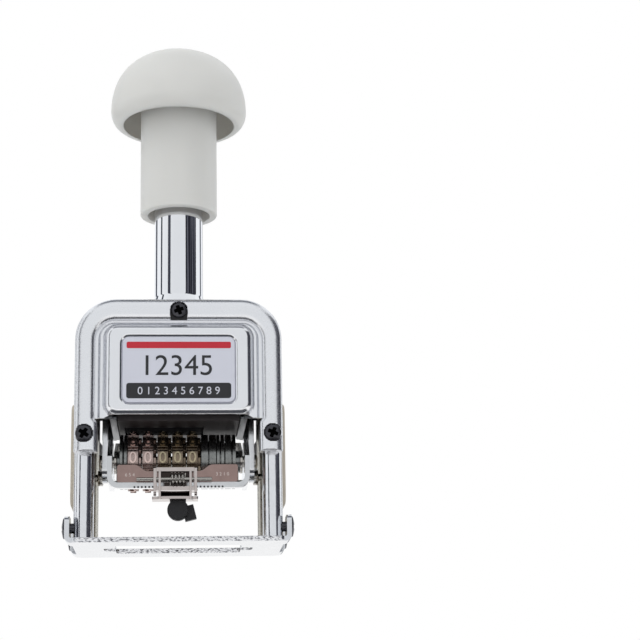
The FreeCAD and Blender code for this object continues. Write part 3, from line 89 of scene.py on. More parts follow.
# Reflected cards: azimuth, width, elevation and height in degrees, then the dark and the light tone
CARDS = {
    "card_right": (62, 56, 8, 70, "#2A2A32", "#74767F"),
    "card_left": (-46, 13, 8, 70, "#33353E", "#5E606B"),
    "card_far_left": (-90, 9, 8, 70, "#3A3D48", "#6A6D74"),
    "card_behind_right": (128, 12, 8, 70, "#55575F", "#8E94A2"),
    "card_behind_left": (-132, 16, 8, 70, "#4A4C55", "#8E94A2"),
    "card_behind": (168, 10, 8, 70, "#6A6D74", "#9EA4B0"),
    "card_above": (0, 50, 84, 40, "#6A6D74", "#8E94A2"),
}

# Castings, sheets and turned parts by the rounding of their edges, in mm
EDGES = {
    0.9: "side_cover_left side_cover_right",
    0.3: "base_plate crown post_front_left post_front_right post_rear_left post_rear_right",
    0.28: "scale_plate",
    0.25: "case_frame selector_knob yoke_nut",
    0.2: "yoke cam_plate_left cam_plate_right pad_tray pad_carrier buffer_washer cam_followers spring_collar",
    0.18: "selector_slide selector_lever",
    0.15: "feed_frame ten_thousands_wheel thousands_wheel hundreds_wheel tens_wheel units_wheel",
    0.14: "blank_wheels left_collar",
    0.1: "selector_pin detent_rod",
    0.08: "feed_pawl detent_pawls comb_spring",
}

# A metal's shader inputs besides its tone, roughness and normal
METAL = {"Metallic": 1.0}

# A mix of two colours, whose inputs are 0 for the factor and 6 and 7 for the colours
BLEND = {"output": 2, "data_type": "RGBA"}

# Cover sizes that the CAD gives, in mm
FLANGE_Y = 20.0
STEP_Y = 20.8
FACE_Y = 23.0
FLANGE_HALF, FLANGE_TOP, FLANGE_RADIUS = 25.65, 67.25, 6.8
STEP_HALF, STEP_TOP, STEP_RADIUS = 24.0, 66.2, 5.0
PANEL_HALF, PANEL_TOP, PANEL_RADIUS = 22.6, 65.7, 4.5
LABEL_HALF, LABEL_LOW, LABEL_HIGH, LABEL_RADIUS = 17.1, 40.8, 61.4, 2.3
PRINT_DEPTH = 0.03

# Arch sizes that the CAD gives, in mm
ARCH_INNER, ARCH_OUTER, ARCH_THROAT = 25.0, 31.0, 24.0
ARCH_FOOT, ARCH_SHOULDER, ARCH_WAIST = 26.5, 35.2, 36.6
ARCH_BEND_LOW, ARCH_BEND_HIGH, INNER_BEND, OUTER_BEND = 60.6, 60.8, 6.0, 12.5
BEAM_LOW, BEAM_TOP = 66.6, 73.3
ARCH_FACE, ARCH_REBATE, ARCH_BACK = 22.5, 20.0, 18.5

# Screw, wheel, selector and case places that the CAD gives, in mm
LEG_SCREW_X, LEG_SCREW_Z = 28.0, 32.0
TOP_SCREW_Y, TOP_SCREW_Z = 22.4, 69.7
BASE_SCREW_X, BASE_SCREW_Y, BASE_SCREW_Z = 34.4, 15.5, 4.7
PIVOT_X, AXIS_Z = 24.5, 26.9
WHEEL_WIDTH, TYPE_RADIUS, TYPE_RISE = 3.3, 8.88, 0.52
SELECTOR_X = -1.0
TICK_Y, TICK_TOP = 11.5, 17.8

# Handle sizes that the CAD gives, in mm
NECK_BORE, NECK_RADIUS, NECK_FOOT, NECK_TOP = 6.5, 7.65, 67.8, 118.0
COLLAR_RADIUS, COLLAR_LOW, COLLAR_HIGH = 8.4, 73.3, 76.6
SLEEVE_RADIUS = 12.2
SLEEVE_LOW, SLEEVE_HIGH = 106.2, 146.0
KNOB_RADIUS, KNOB_WALL = 21.8, 2.2
KNOB_WIDEST, KNOB_TOP, KNOB_RIM, KNOB_RIM_RADIUS = 141.5, 161.5, 136.8, 18.9


def linear(hexadecimal):
    """An sRGB hex value as a linear colour with alpha."""
    levels = np.array([int(hexadecimal[place:place + 2], 16) for place in (1, 3, 5)]) / 255
    bent = np.where(levels <= 0.04045, levels / 12.92, ((levels + 0.055) / 1.055) ** 2.4)
    return (*bent, 1.0)


def colour_property(name, description, hexadecimal):
    """A colour that a user may change."""
    return FloatVectorProperty(name=name, description=description, subtype="COLOR", size=3, min=0, max=1,
                               default=linear(hexadecimal)[:3])


def size_property(name, description, millimetres):
    """A length that a user may change, in millimetres."""
    return FloatProperty(name=name, description=description, default=millimetres, min=0.0, soft_max=40.0)


class NUMBERING_PG_sizes(bpy.types.PropertyGroup):
    """Sizes of the finishing pieces, in millimetres"""

    edge_scale: FloatProperty(name="Edge rounding", description="Share of the usual rounding of every metal edge",
                              default=1.0, min=0.2, max=1.5, subtype="FACTOR")
    arch_round: size_property("Arch rounding", "Width of the rounded edges of the cast arches", 2.9)
    pillow_width: size_property("Pillow slope", "Width of the rounded slope round the cover's raised panel", 2.7)
    recess_width: size_property("Recess slope", "Width of the rounded edge of the label's recess", 1.1)
    figure_height: size_property("Figure height", "Height of the figures on the wheels", 3.5)
    figure_width: size_property("Figure width", "Width of the figures on the wheels", 2.8)
    cross_width: size_property("Cross slot", "Width of the arms of the cross recess in the screws", 1.0)
    print_height: size_property("Print height", "Height of the large numbers on the label", 6.2)


class NUMBERING_PG_colours(bpy.types.PropertyGroup):
    """Colours of the finishes"""

    chrome: colour_property("Chrome", "Satin and mirror chrome", "#F0F1F4")
    plastic: colour_property("Plastic", "Handle sleeve and knob", "#D3D2CE")
    bronze: colour_property("Wheel bronze", "Figure wheels", "#BBA8A2")
    brown: colour_property("Tinted nickel", "Plate in front of the wheels", "#A58D87")
    enamel: colour_property("Side enamel", "Side covers", "#B5AC9D")
    label: colour_property("Label silver", "Ground of the label", "#CBCCD6")
    red: colour_property("Label red", "Red print on the label", "#BE2030")
    dark: colour_property("Label black", "Dark print on the label", "#232327")


def add(tree, kind, inputs=(), output=0, **settings):
    """Adds one node with its settings and inputs, each a value or another node's output, and gives its output."""
    made = tree.nodes.new(f"ShaderNode{kind}")
    for key, value in settings.items():
        setattr(made, key, value)
    for key, value in inputs.items() if isinstance(inputs, dict) else enumerate(inputs):
        if isinstance(value, bpy.types.NodeSocket):
            tree.links.new(value, made.inputs[key])
        else:
            made.inputs[key].default_value = value
    return made.outputs[output] if made.outputs else made


def start_material(name):
    """An empty material with its tree and the object's coordinates in metres."""
    material = bpy.data.materials.new(name)
    material.use_nodes = True
    tree = material.node_tree
    tree.nodes.clear()
    return material, tree, add(tree, "TexCoord", output="Object")


def grain(tree, place, size_mm, detail=2.0, stretch=(1, 1, 1)):
    """Noise whose grains are about size_mm across."""
    mapped = add(tree, "Mapping", {"Scale": stretch, "Vector": place})
    return add(tree, "TexNoise", {"Scale": 1 / (size_mm * MM), "Detail": detail, "Vector": mapped})


def shaded(tree, factor, colour, shade):
    """A colour that goes over to its darker neighbour as the factor rises."""
    dark = tuple(channel * shade for channel in colour)
    return add(tree, "Mix", {0: factor, 6: (*colour, 1.0), 7: (*dark, 1.0)}, **BLEND)


def distance_along(tree, vector, axis, middle=0.0):
    """How far a vector lies from a middle along one axis."""
    part = add(tree, "SeparateXYZ", (vector,), axis)
    apart = add(tree, "Math", (part, middle), operation="SUBTRACT")
    return add(tree, "Math", (apart,), operation="ABSOLUTE")


def surface(material, tree, tone, fine, rough, rough_spread, bumps, more=METAL):
    """Ends a material: its tone, a roughness that follows the fine grain, and bumps of (height, depth in mm)."""
    roughness = add(tree, "MapRange", (fine, 0.3, 0.7, rough, rough + rough_spread))
    inputs = {"Base Color": tone, "Roughness": roughness, **more}
    for height, depth_mm in bumps:
        under = {"Normal": inputs["Normal"]} if "Normal" in inputs else {}
        inputs["Normal"] = add(tree, "Bump", {"Distance": depth_mm * MM, "Height": height, **under})
    add(tree, "OutputMaterial", {"Surface": add(tree, "BsdfPrincipled", inputs)})
    return material


def plated(name, colour, shade, rough, rough_spread, grain_mm, depth_mm, wave_mm=6.0, wave_depth=0.0,
           stretch=(1, 1, 1)):
    """Plated metal: a broad variation of tone, a fine grain in its roughness, and a bump of both."""
    material, tree, place = start_material(name)
    broad, fine = grain(tree, place, wave_mm), grain(tree, place, grain_mm, 3.0, stretch)
    bumps = [(fine, depth_mm), (broad, wave_depth)] if wave_depth else [(fine, depth_mm)]
    return surface(material, tree, shaded(tree, broad, colour, shade), fine, rough, rough_spread, bumps)


def moulded(name, colour, shade, rough, grain_mm, depth_mm, glow=0.0):
    """Moulded or coated surface: a slight variation of tone and a fine skin texture."""
    material, tree, place = start_material(name)
    broad, fine = grain(tree, place, 14.0), grain(tree, place, grain_mm, 3.0)
    more = {"IOR": 1.46, "Subsurface Weight": glow, "Subsurface Radius": (1.0, 0.93, 0.85),
            "Subsurface Scale": 0.004}
    return surface(material, tree, shaded(tree, broad, colour, shade), fine, rough, 0.1, [(fine, depth_mm)], more)


def recessed_steel(name, tone):
    """Oiled steel screw: small glints on its head, and painted shade in the cross recess, darker the deeper it goes.
    """
    material, tree, place = start_material(name)
    fine = grain(tree, place, 0.3, 3.0)
    deep = add(tree, "Attribute", output="Fac", attribute_name="recess")
    # Painted shade: the tone goes to near black with the depth of the cross recess
    tone = add(tree, "Mix", {0: deep, 6: linear(tone), 7: linear("#060606")}, **BLEND)
    return surface(material, tree, tone, fine, 0.14, 0.16, [(fine, 0.008)])


def sheared_plate_with_painted_glints():
    """Nickelled plate whose upright cut edges carry a coarse bump and a painted sparkle, bright glints and dark shade
    in spots, which only they carry.
    """
    material, tree, place = start_material("sheared_nickel_painted_glints")
    facing = distance_along(tree, add(tree, "NewGeometry", output="Normal"), "Y")
    upright = add(tree, "MapRange", (facing, 0.55, 0.85, 0, 1))
    # The ears' own edges, further out, stay smooth
    within = add(tree, "MapRange", (distance_along(tree, place, "X"), 29.5 * MM, 30.5 * MM, 1, 0))
    cut = add(tree, "Math", (upright, within), operation="MULTIPLY")
    broad, fine = grain(tree, place, 6.0), grain(tree, place, 0.5, 4.0, (0.55, 1, 1.1))
    glint_spots = add(tree, "MapRange", (fine, 0.47, 0.62, 0, 1))
    whole = add(tree, "Mix", {0: broad, 6: linear("#E9EAEC"), 7: linear("#D6D8DC")}, **BLEND)
    # Painted glints and painted shade: bright and dark spots by noise on the cut edges
    painted_sparkle = add(tree, "Mix", {0: glint_spots, 6: linear("#F4F4F6"), 7: linear("#74757B")}, **BLEND)
    tone = add(tree, "Mix", {0: cut, 6: whole, 7: painted_sparkle}, **BLEND)
    rough = add(tree, "Bump", {"Distance": 0.25 * MM, "Height": fine, "Strength": cut})
    return surface(material, tree, tone, fine, 0.08, 0.1, (), {**METAL, "Normal": rough})


def sheet_with_painted_shade(name, colour, rim, painted_shade_half, rough):
    """Plated sheet with painted shade behind the selector and in the ticks, and a painted highlight on its faces that
    turn away from the front.
    """
    material, tree, place = start_material(name)
    broad, fine = grain(tree, place, 3.0), grain(tree, place, 0.35, 3.0)
    away = distance_along(tree, place, "X", SELECTOR_X * MM)
    facing = distance_along(tree, add(tree, "NewGeometry", output="Normal"), "Y")
    depth, height = (add(tree, "SeparateXYZ", (place,), axis) for axis in "YZ")
    at_tick = add(tree, "Math", (depth, -TICK_Y * MM, 0.12 * MM), operation="COMPARE")
    below = add(tree, "Math", (height, TICK_TOP * MM), operation="LESS_THAN")
    tone = shaded(tree, broad, colour, 0.7)
    # Painted shade behind the selector, painted highlight on faces turned from the front, painted shade in the ticks
    for share, over in (
            (add(tree, "MapRange", (away, painted_shade_half * MM, (painted_shade_half + 1.2) * MM, 1, 0)), linear("#37302E")),
            (add(tree, "MapRange", (facing, 0.8, 0.96, 1, 0)), rim),
            (add(tree, "Math", (at_tick, below), operation="MULTIPLY"), linear("#1C1A19"))):
        tone = add(tree, "Mix", {0: share, 6: tone, 7: over}, **BLEND)
    return surface(material, tree, tone, fine, rough, 0.15, [(fine, 0.004), (broad, 0.012)])


def inked_bronze(colours):
    """Cast bronze wheels: ink sits in their hollows, thin and pinkish on the left and thick and olive on the right."""
    material, tree, place = start_material("inked_wheel_bronze")
    blotch, fine = grain(tree, place, 1.4, 3.0), grain(tree, place, 0.4, 3.0)
    soaked = add(tree, "Mix", {0: blotch, 6: linear("#8C7E66"), 7: linear("#4C4331")}, **BLEND)
    across = add(tree, "SeparateXYZ", (place,), "X")
    inked = add(tree, "MapRange", (across, -8.2 * MM, -5.5 * MM, 0, 0.8))
    tone = add(tree, "Mix", {0: inked, 6: shaded(tree, blotch, colours.bronze, 0.7), 7: soaked},
               **BLEND)
    return surface(material, tree, tone, fine, 0.16, 0.2, [(fine, 0.002), (blotch, 0.006)])


def materials(colours):
    """The machine's finishes by the record's slot."""
    grey = linear("#E3E4E6")[:3]
    return {
        # Satin plating over polished castings: near white, with a soft sparkle along its curves
        "satin_chrome": plated("satin_chrome_on_zinc", colours.chrome, 0.95, 0.12, 0.1, 0.22, 0.0035, 7.0, 0.02),
        # Mirror plating: sharp streaks of whatever stands round it
        "bright_chrome": plated("mirror_chrome_plate", colours.chrome, 0.97, 0.03, 0.04, 0.8, 0.0004, 5.0, 0.005),
        # Bright nickel on rolled sheet: a slightly softer mirror
        "nickel_sheet": plated("bright_nickel_sheet", grey, 0.9, 0.1, 0.12, 0.3, 0.002, 6.0, 0.01),
        # Zinc with a thin warm passivation, dull beside the chrome
        "warm_zinc": plated("passivated_zinc_sheet", linear("#C9BFAE")[:3], 0.85, 0.28, 0.2, 0.4, 0.004),
        # Matt enamel with a faint orange peel
        "beige_enamel": moulded("matt_beige_enamel", colours.enamel, 0.93, 0.5, 0.5, 0.01),
        # Turned steel, darkened: fine rings that turn with the lathe
        "dark_steel": plated("turned_dark_steel", linear("#A2A4A2")[:3], 0.4, 0.16, 0.2, 0.25, 0.003, 1.6, 0.0,
                             (6, 0.4, 0.4)),
        # Black oxide, oily, with small glints
        "black_screw": plated("black_oxide_steel", linear("#38383B")[:3], 0.5, 0.1, 0.14, 0.3, 0.006),
        # Satin foil under a clear print
        "plate_silver": moulded("printed_silver_foil", colours.label, 0.97, 0.32, 0.2, 0.001),
        # Matt moulded plastic with a barely visible skin
        "grey_plastic": moulded("moulded_grey_plastic", colours.plastic, 0.98, 0.36, 0.35, 0.003, 0.35),
        "brass_bush": plated("turned_brass", linear("#C9A860")[:3], 0.85, 0.25, 0.1, 0.3, 0.002),
        # Drawn steel: long faint scratches along the part
        "bright_steel": plated("drawn_steel", linear("#C4C0BA")[:3], 0.8, 0.14, 0.15, 0.3, 0.003, 4.0, 0.0,
                               (0.3, 3, 3)),
        "red_fibre": moulded("vulcanised_fibre", linear("#5F2B20")[:3], 0.8, 0.55, 0.2, 0.01),
        # Cast bronze with dried ink in its hollows: blotches of dark over a warm grey
        "wheel_bronze": inked_bronze(colours),
        # Nickel with a brown tint, slightly wavy from the press
        "brown_nickel": plated("tinted_nickel_sheet", colours.brown, 0.7, 0.12, 0.16, 0.35, 0.004, 3.0, 0.012),
        "black_knob": moulded("black_lacquer_on_steel", linear("#232225")[:3], 0.8, 0.42, 0.25, 0.008),
        "black_tray": moulded("moulded_black_tray", linear("#2B2425")[:3], 0.8, 0.4, 0.5, 0.004),
        "pad_felt": moulded("inked_felt", linear("#17171C")[:3], 0.6, 0.85, 0.15, 0.08),
    }


def dress_nodes(finishes):
    """Gives every CAD node the finish of its slot."""
    for node, slot in SLOT.items():
        for place in frame["nodes"][node].material_slots:
            place.material = finishes[slot]


def finish_of(node):
    """The finish that a CAD node wears."""
    return frame["nodes"][node].material_slots[0].material


def settle(name, mesh, body, material, replaced=(), sharp=35):
    """Turns a mesh in metres into a piece: doubles merged, faces outward, smooth up to an angle, on its body."""
    work = bmesh.new()
    work.from_mesh(mesh)
    bmesh.ops.remove_doubles(work, verts=work.verts, dist=1e-7)
    bmesh.ops.dissolve_degenerate(work, edges=work.edges, dist=1e-8)
    bmesh.ops.recalc_face_normals(work, faces=work.faces)
    work.to_mesh(mesh)
    work.free()
    mesh.shade_smooth()
    mesh.set_sharp_from_angle(angle=math.radians(sharp))
    mesh.materials.clear()
    mesh.materials.append(material)
    piece = bpy.data.objects.new(name, mesh)
    bpy.context.scene.collection.objects.link(piece)
    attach(piece, body)
    if replaced:
        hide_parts(*replaced)
    return piece


def stand_in(name, mesh, node, sharp, finish=None):
    """A piece in a CAD node's place: on its body and with the node's finish unless it has one of its own."""
    return settle(name, mesh, BODY[node], finish or finish_of(node), (node,), sharp)


def skin(points, faces):
    """A mesh from points in millimetres and faces by number."""
    mesh = bpy.data.meshes.new("skin")
    mesh.from_pydata((np.asarray(points) * MM).tolist(), [], [tuple(face) for face in faces])
    return mesh


def weave(rows, columns, wrap_rows=False, wrap_columns=False):
    """Quads over a grid of rows and columns of points, joined end to end where it wraps."""
    a, b = np.meshgrid(np.arange(rows if wrap_rows else rows - 1), np.arange(columns if wrap_columns else columns - 1),
                       indexing="ij")
    c, d = (a + 1) % rows, (b + 1) % columns
    return np.stack([a * columns + b, a * columns + d, c * columns + d, c * columns + b], -1).reshape(-1, 4).tolist()


def bezier(poles, count):
    """Points of a cubic with four poles: the poles weighted by the powers of t and 1 - t."""
    t = np.linspace(0, 1, count)[:, None]
    a, b, c, d = np.array(poles, float)
    return (1 - t) ** 3 * a + 3 * t * (1 - t) ** 2 * b + 3 * t ** 2 * (1 - t) * c + t ** 3 * d


def rounded(corners, steps=8):
    """A closed outline through (u, v, radius), each corner an arc swept between its two tangent points."""
    run = []
    count = len(corners)
    for index, (u, v, radius) in enumerate(corners):
        here = np.array([u, v], float)
        if not radius:
            run.append(here[None])
            continue
        back = np.array(corners[index - 1][:2], float) - here
        ahead = np.array(corners[(index + 1) % count][:2], float) - here
        back /= np.linalg.norm(back)
        ahead /= np.linalg.norm(ahead)
        half = math.acos(np.clip(back @ ahead, -1, 1)) / 2
        middle = here + (back + ahead) / np.linalg.norm(back + ahead) * radius / math.sin(half)
        start = here + back * radius / math.tan(half) - middle
        end = here + ahead * radius / math.tan(half) - middle
        first = math.atan2(start[1], start[0])
        turn = (math.atan2(end[1], end[0]) - first + math.pi) % (2 * math.pi) - math.pi
        angles = first + turn * np.linspace(0, 1, steps)
        run.append(middle + radius * np.stack([np.cos(angles), np.sin(angles)], -1))
    return np.concatenate(run)


def lathe(profile, close=True):
    """A profile of (radius, height) turned about Z: x = r cos a, y = r sin a, z = h."""
    segments = 160
    angles = np.linspace(0, 2 * np.pi, segments, endpoint=False)
    radius, height = profile[:, :1], profile[:, 1:]
    points = np.stack([radius * np.cos(angles), radius * np.sin(angles), height + 0 * angles], -1)
    return skin(points.reshape(-1, 3), weave(len(profile), segments, close, True))


def rounded_box_distance(x, z, half, low, high, radius):
    """Distance from a rounded rectangle's edge, negative inside it: the corner's distance less its radius."""
    away_x = np.abs(x) - (half - radius)
    away_z = np.abs(z - (low + high) / 2) - ((high - low) / 2 - radius)
    outside = np.hypot(np.maximum(away_x, 0), np.maximum(away_z, 0))
    return outside + np.minimum(np.maximum(away_x, away_z), 0) - radius


def rise(distance, width, power=2.2):
    """A rounded step: 0 outside the edge, then 1 - (1 - t) to a power, level once t reaches 1."""
    t = np.clip(-distance / width, 0, 1)
    return 1 - (1 - t) ** power


def smooth_step(value, width):
    """A step from 0 to 1 over a width about zero, level at both ends."""
    t = np.clip(value / width + 0.5, 0, 1)
    return t * t * (3 - 2 * t)


def spaced(stops, steps):
    """Numbers from stop to stop, each stretch with its own step."""
    runs = [np.linspace(a, b, max(2, int(round((b - a) / step)) + 1))[:-1]
            for a, b, step in zip(stops[:-1], stops[1:], steps)]
    return np.concatenate([*runs, stops[-1:]])


def cover(sizes, bottom, flare, labelled):
    """The pressed cover as a height over (x, z): flange + step + pillow - label recess, and the same 1 mm behind."""
    across = spaced([-FLANGE_HALF, -15.6, 15.6, FLANGE_HALF], [0.13, 0.65, 0.13])
    beyond = np.clip(np.abs(across) - (FLANGE_HALF - FLANGE_RADIUS), 0, FLANGE_RADIUS)
    top = FLANGE_TOP - FLANGE_RADIUS + np.sqrt(np.maximum(FLANGE_RADIUS ** 2 - beyond ** 2, 0))
    low = bottom - flare * np.clip((np.abs(across) - 20.5) / 1.8, 0, 1)
    share = (spaced([bottom, 43.8, 58.8, FLANGE_TOP], [0.13, 0.6, 0.13])[:, None] - bottom) / (FLANGE_TOP - bottom)
    z = low + (top - low) * share
    x = across + 0 * share
    height = (STEP_Y - FLANGE_Y) * rise(rounded_box_distance(x, z, STEP_HALF, 0.0, STEP_TOP, STEP_RADIUS), 0.7)
    height += (FACE_Y - STEP_Y) * rise(
        rounded_box_distance(x, z, PANEL_HALF, bottom - 1.0, PANEL_TOP, PANEL_RADIUS), sizes.pillow_width, 2.4)
    if labelled:
        distance = rounded_box_distance(x, z, LABEL_HALF, LABEL_LOW, LABEL_HIGH, LABEL_RADIUS)
        height -= 0.5 * smooth_step(-distance + sizes.recess_width * 0.1, sizes.recess_width)
    front = np.stack([x, -(FLANGE_Y + height), z], -1)
    back = front + np.array([0, 0.95, 0])
    rows, columns = x.shape
    outer = weave(rows, columns)
    count = rows * columns
    inner = [[point + count for point in reversed(face)] for face in outer]
    rim = np.concatenate([np.arange(columns), np.arange(1, rows) * columns + columns - 1,
                          (rows - 1) * columns + np.arange(columns - 2, -1, -1), np.arange(rows - 2, 0, -1) * columns])
    after = np.roll(rim, -1)
    sides = np.stack([rim, rim + count, after + count, after], -1).tolist()
    points = np.concatenate([front.reshape(-1, 3), back.reshape(-1, 3)])
    if not labelled:
        points = points * np.array([1, -1, 1])
    return skin(points, outer + inner + sides)


def arch(sizes, side):
    """A rounded bar carried up one leg, round the corners and down the other, less the screws' seats.

    A point lies a share of the way from the inner outline to the outer one; near either edge the face falls
    away as a quarter ellipse.
    """
    corner = np.linspace(0, np.pi / 2, 36)
    foot = spaced([ARCH_FOOT, ARCH_SHOULDER], [0.22])
    step = np.linspace(0, 1, 6)[1:]
    waist = ARCH_SHOULDER + (ARCH_WAIST - ARCH_SHOULDER) * step
    leg = np.linspace(0, 1, 26)[1:-1]
    inner_x, outer_x = INNER_BEND - ARCH_INNER, OUTER_BEND - ARCH_OUTER
    beam = spaced([outer_x, -4.0, 0.0], [0.8, 0.16])[1:]
    inner = [(0 * foot - ARCH_THROAT, foot), (-ARCH_THROAT + (ARCH_THROAT - ARCH_INNER) * step, waist),
             (0 * leg - ARCH_INNER, ARCH_WAIST + leg * (ARCH_BEND_LOW - ARCH_WAIST)),
             (inner_x - INNER_BEND * np.cos(corner), ARCH_BEND_LOW + INNER_BEND * np.sin(corner)),
             (beam, 0 * beam + BEAM_LOW)]
    outer = [(0 * foot - ARCH_OUTER, foot), (0 * step - ARCH_OUTER, waist),
             (0 * leg - ARCH_OUTER, ARCH_WAIST + leg * (ARCH_BEND_HIGH - ARCH_WAIST)),
             (outer_x - OUTER_BEND * np.cos(corner), ARCH_BEND_HIGH + OUTER_BEND * np.sin(corner)),
             (beam, 0 * beam + BEAM_TOP)]
    lines = []
    for outline in (inner, outer):
        half = np.stack([np.concatenate([run[0] for run in outline]), np.concatenate([run[1] for run in outline])], -1)
        lines.append(np.concatenate([half, (half * np.array([-1, 1]))[-2::-1]]))
    inside, outside = lines
    share = (1 - np.cos(np.linspace(0, np.pi, 30))) / 2
    place = inside[:, None] + (outside - inside)[:, None] * share[:, None]
    wide = np.linalg.norm(outside - inside, axis=-1)[:, None]

    def fall(distance, width, depth):
        return depth * (1 - np.sqrt(1 - (1 - np.clip(distance / width, 0, 1)) ** 2))

    drop = fall(wide * (1 - share), sizes.arch_round, 1.8) + fall(wide * share, sizes.arch_round * 0.7, 1.3)
    drop = np.maximum(drop, fall(place[..., 1] - ARCH_FOOT, 0.8, 0.6))
    seat = smooth_step(2.62 - np.hypot(np.abs(place[..., 0]) - LEG_SCREW_X, place[..., 1] - LEG_SCREW_Z), 0.2)
    notch = smooth_step(2.5 - np.hypot(place[..., 0], np.maximum(place[..., 1] - TOP_SCREW_Z, 0)), 0.25)
    drop = np.maximum(drop, np.maximum(0.8 * seat, 1.2 * notch))
    front = np.stack([place[..., 0], drop - ARCH_FACE, place[..., 1]], -1)
    rebate = np.where(inside[:, 1] > ARCH_WAIST + 0.1, 0.8 / wide[:, 0], 0)[:, None]
    walls = []
    for y, along in ((-ARCH_BACK, 1.0), (-ARCH_BACK, rebate), (-ARCH_REBATE, rebate), (-ARCH_REBATE, 0.0)):
        spot = inside + (outside - inside) * along
        walls.append(np.stack([spot[:, 0], 0 * spot[:, 0] + y, spot[:, 1]], -1)[:, None])
    ring = np.concatenate([front, *walls], 1) * np.array([1, side, 1])
    rows, columns = ring.shape[:2]
    ends = [list(range(columns)), list(range((rows - 1) * columns, rows * columns))]
    return skin(ring.reshape(-1, 3), weave(rows, columns, False, True) + ends)


def coil(low, high, radius, wire, turns):
    """A wire carried along a helix: radius times (cos a, sin a), height rising evenly with a."""
    angle = np.linspace(0, 2 * np.pi * turns, 36 * turns + 1)[:, None]
    around = np.linspace(0, 2 * np.pi, 10, endpoint=False)
    climb = low + wire + (high - low - 2 * wire) * angle / angle[-1]
    reach = radius + wire * np.cos(around)
    points = np.stack([reach * np.cos(angle), reach * np.sin(angle), climb + wire * np.sin(around)], -1)
    ends = [list(range(10)), list(range(len(angle) * 10 - 10, len(angle) * 10))]
    return skin(points.reshape(-1, 3), weave(len(angle), 10, False, True) + ends)


def softened(node, width, finish=None):
    """A CAD node's mesh with its doubles merged and its flat faces joined, then every sharp edge rounded."""
    mesh = frame["nodes"][node].data.copy()
    mesh.name = f"{node}_skin"
    for spare in ("custom_normal", "sharp_edge", "sharp_face"):
        if spare in mesh.attributes:
            mesh.attributes.remove(mesh.attributes[spare])
    work = bmesh.new()
    work.from_mesh(mesh)
    bmesh.ops.remove_doubles(work, verts=work.verts, dist=2e-6)
    bmesh.ops.dissolve_limit(work, angle_limit=math.radians(0.5), verts=work.verts, edges=work.edges)
    work.to_mesh(mesh)
    work.free()
    mesh.shade_smooth()
    if finish:
        mesh.materials.clear()
        mesh.materials.append(finish)
    piece = bpy.data.objects.new(f"{node}_finished", mesh)
    bpy.context.scene.collection.objects.link(piece)
    edge = piece.modifiers.new("rounded_edges", "BEVEL")
    edge.width = width * MM
    edge.segments = 3
    edge.limit_method = "ANGLE"
    edge.angle_limit = math.radians(35)
    even = piece.modifiers.new("even_shading", "WEIGHTED_NORMAL")
    even.keep_sharp = False
    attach(piece, BODY[node])
    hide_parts(node)
    return piece


def screw(radius, thickness, shank, length, place, way, turn, cross):
    """A pan head with a cross recess and its shank: a profile turned about the screw, less the cross's depth."""
    crown = 0.12 * radius
    share = np.linspace(0, 1, 30)
    top = np.stack([share * radius * 0.8, crown * (1 - share ** 2) - crown], -1)
    edge = bezier([(radius * 0.8, -crown), (radius * 0.95, -crown - 0.05), (radius, -crown - 0.2),
                   (radius, -crown - 0.2 - 0.3 * thickness)], 7)[1:]
    tail = np.array([(radius, -thickness), (shank, -thickness), (shank, -thickness - length),
                     (0, -thickness - length)])
    profile = np.concatenate([top, edge, tail])
    angles = np.linspace(0, 2 * np.pi, 96, endpoint=False)
    along, beside = profile[:, :1] * np.cos(angles), profile[:, :1] * np.sin(angles)
    depth = np.zeros_like(along)
    for first, second in ((along, beside), (beside, along)):
        arm = smooth_step(cross / 2 - np.abs(first), 0.14) * smooth_step(radius * 0.6 - np.abs(second), 0.3)
        depth = np.maximum(depth, arm)
    depth[len(top):] = 0
    taper = np.clip(1.15 - np.hypot(along, beside) / radius, 0.2, 1)
    height = profile[:, 1:] - depth * taper * thickness * 0.65
    way = np.array(way, float)
    side = np.cross(way, (0, 0, 1))
    side /= np.linalg.norm(side)
    up = np.cross(side, way)
    first = math.cos(turn) * side + math.sin(turn) * up
    second = math.cos(turn) * up - math.sin(turn) * side
    points = along[..., None] * first + beside[..., None] * second + height[..., None] * way + np.array(place)
    return points.reshape(-1, 3), weave(len(profile), len(angles), False, True), depth.ravel()


def screws(name, node, finish, shapes):
    """Several screws as one piece in the place of their CAD node."""
    points, faces, depths, count = [], [], [], 0
    for shape in shapes:
        own, own_faces, own_depth = screw(*shape)
        points.append(own)
        depths.append(own_depth)
        faces += [[point + count for point in face] for face in own_faces]
        count += len(own)
    mesh = skin(np.concatenate(points), faces)
    mesh.attributes.new("recess", "FLOAT", "POINT").data.foreach_set("value", np.concatenate(depths))
    stand_in(name, mesh, node, 28, finish)


def lettering(text, depth_mm):
    """Plain built-in figures as a mesh, centred, one unit high, with its depth from 0 to 1 in z."""
    curve = bpy.data.curves.new("figures", "FONT")
    curve.body = text
    curve.extrude = 0.05
    curve.resolution_u = 5
    holder = bpy.data.objects.new("figures", curve)
    mesh = bpy.data.meshes.new_from_object(holder)
    points = np.empty(3 * len(mesh.vertices))
    mesh.vertices.foreach_get("co", points)
    points = points.reshape(-1, 3)
    low, high = points.min(0), points.max(0)
    points = (points - (low + high) / 2) / (high[1] - low[1])
    points[:, 2] = np.where(points[:, 2] > 0, depth_mm, 0.0)
    bpy.data.objects.remove(holder)
    bpy.data.curves.remove(curve)
    return mesh, points


def points_of(mesh):
    """A mesh's points in millimetres."""
    points = np.empty(3 * len(mesh.vertices))
    mesh.vertices.foreach_get("co", points)
    return points.reshape(-1, 3) / MM


def gather(parts, name):
    """One mesh from meshes whose points, in millimetres, have been worked out anew."""
    work = bmesh.new()
    for mesh, points in parts:
        mesh.vertices.foreach_set("co", (points * MM).ravel())
        mesh.update()
        work.from_mesh(mesh)
        bpy.data.meshes.remove(mesh)
    made = bpy.data.meshes.new(name)
    work.to_mesh(made)
    work.free()
    return made


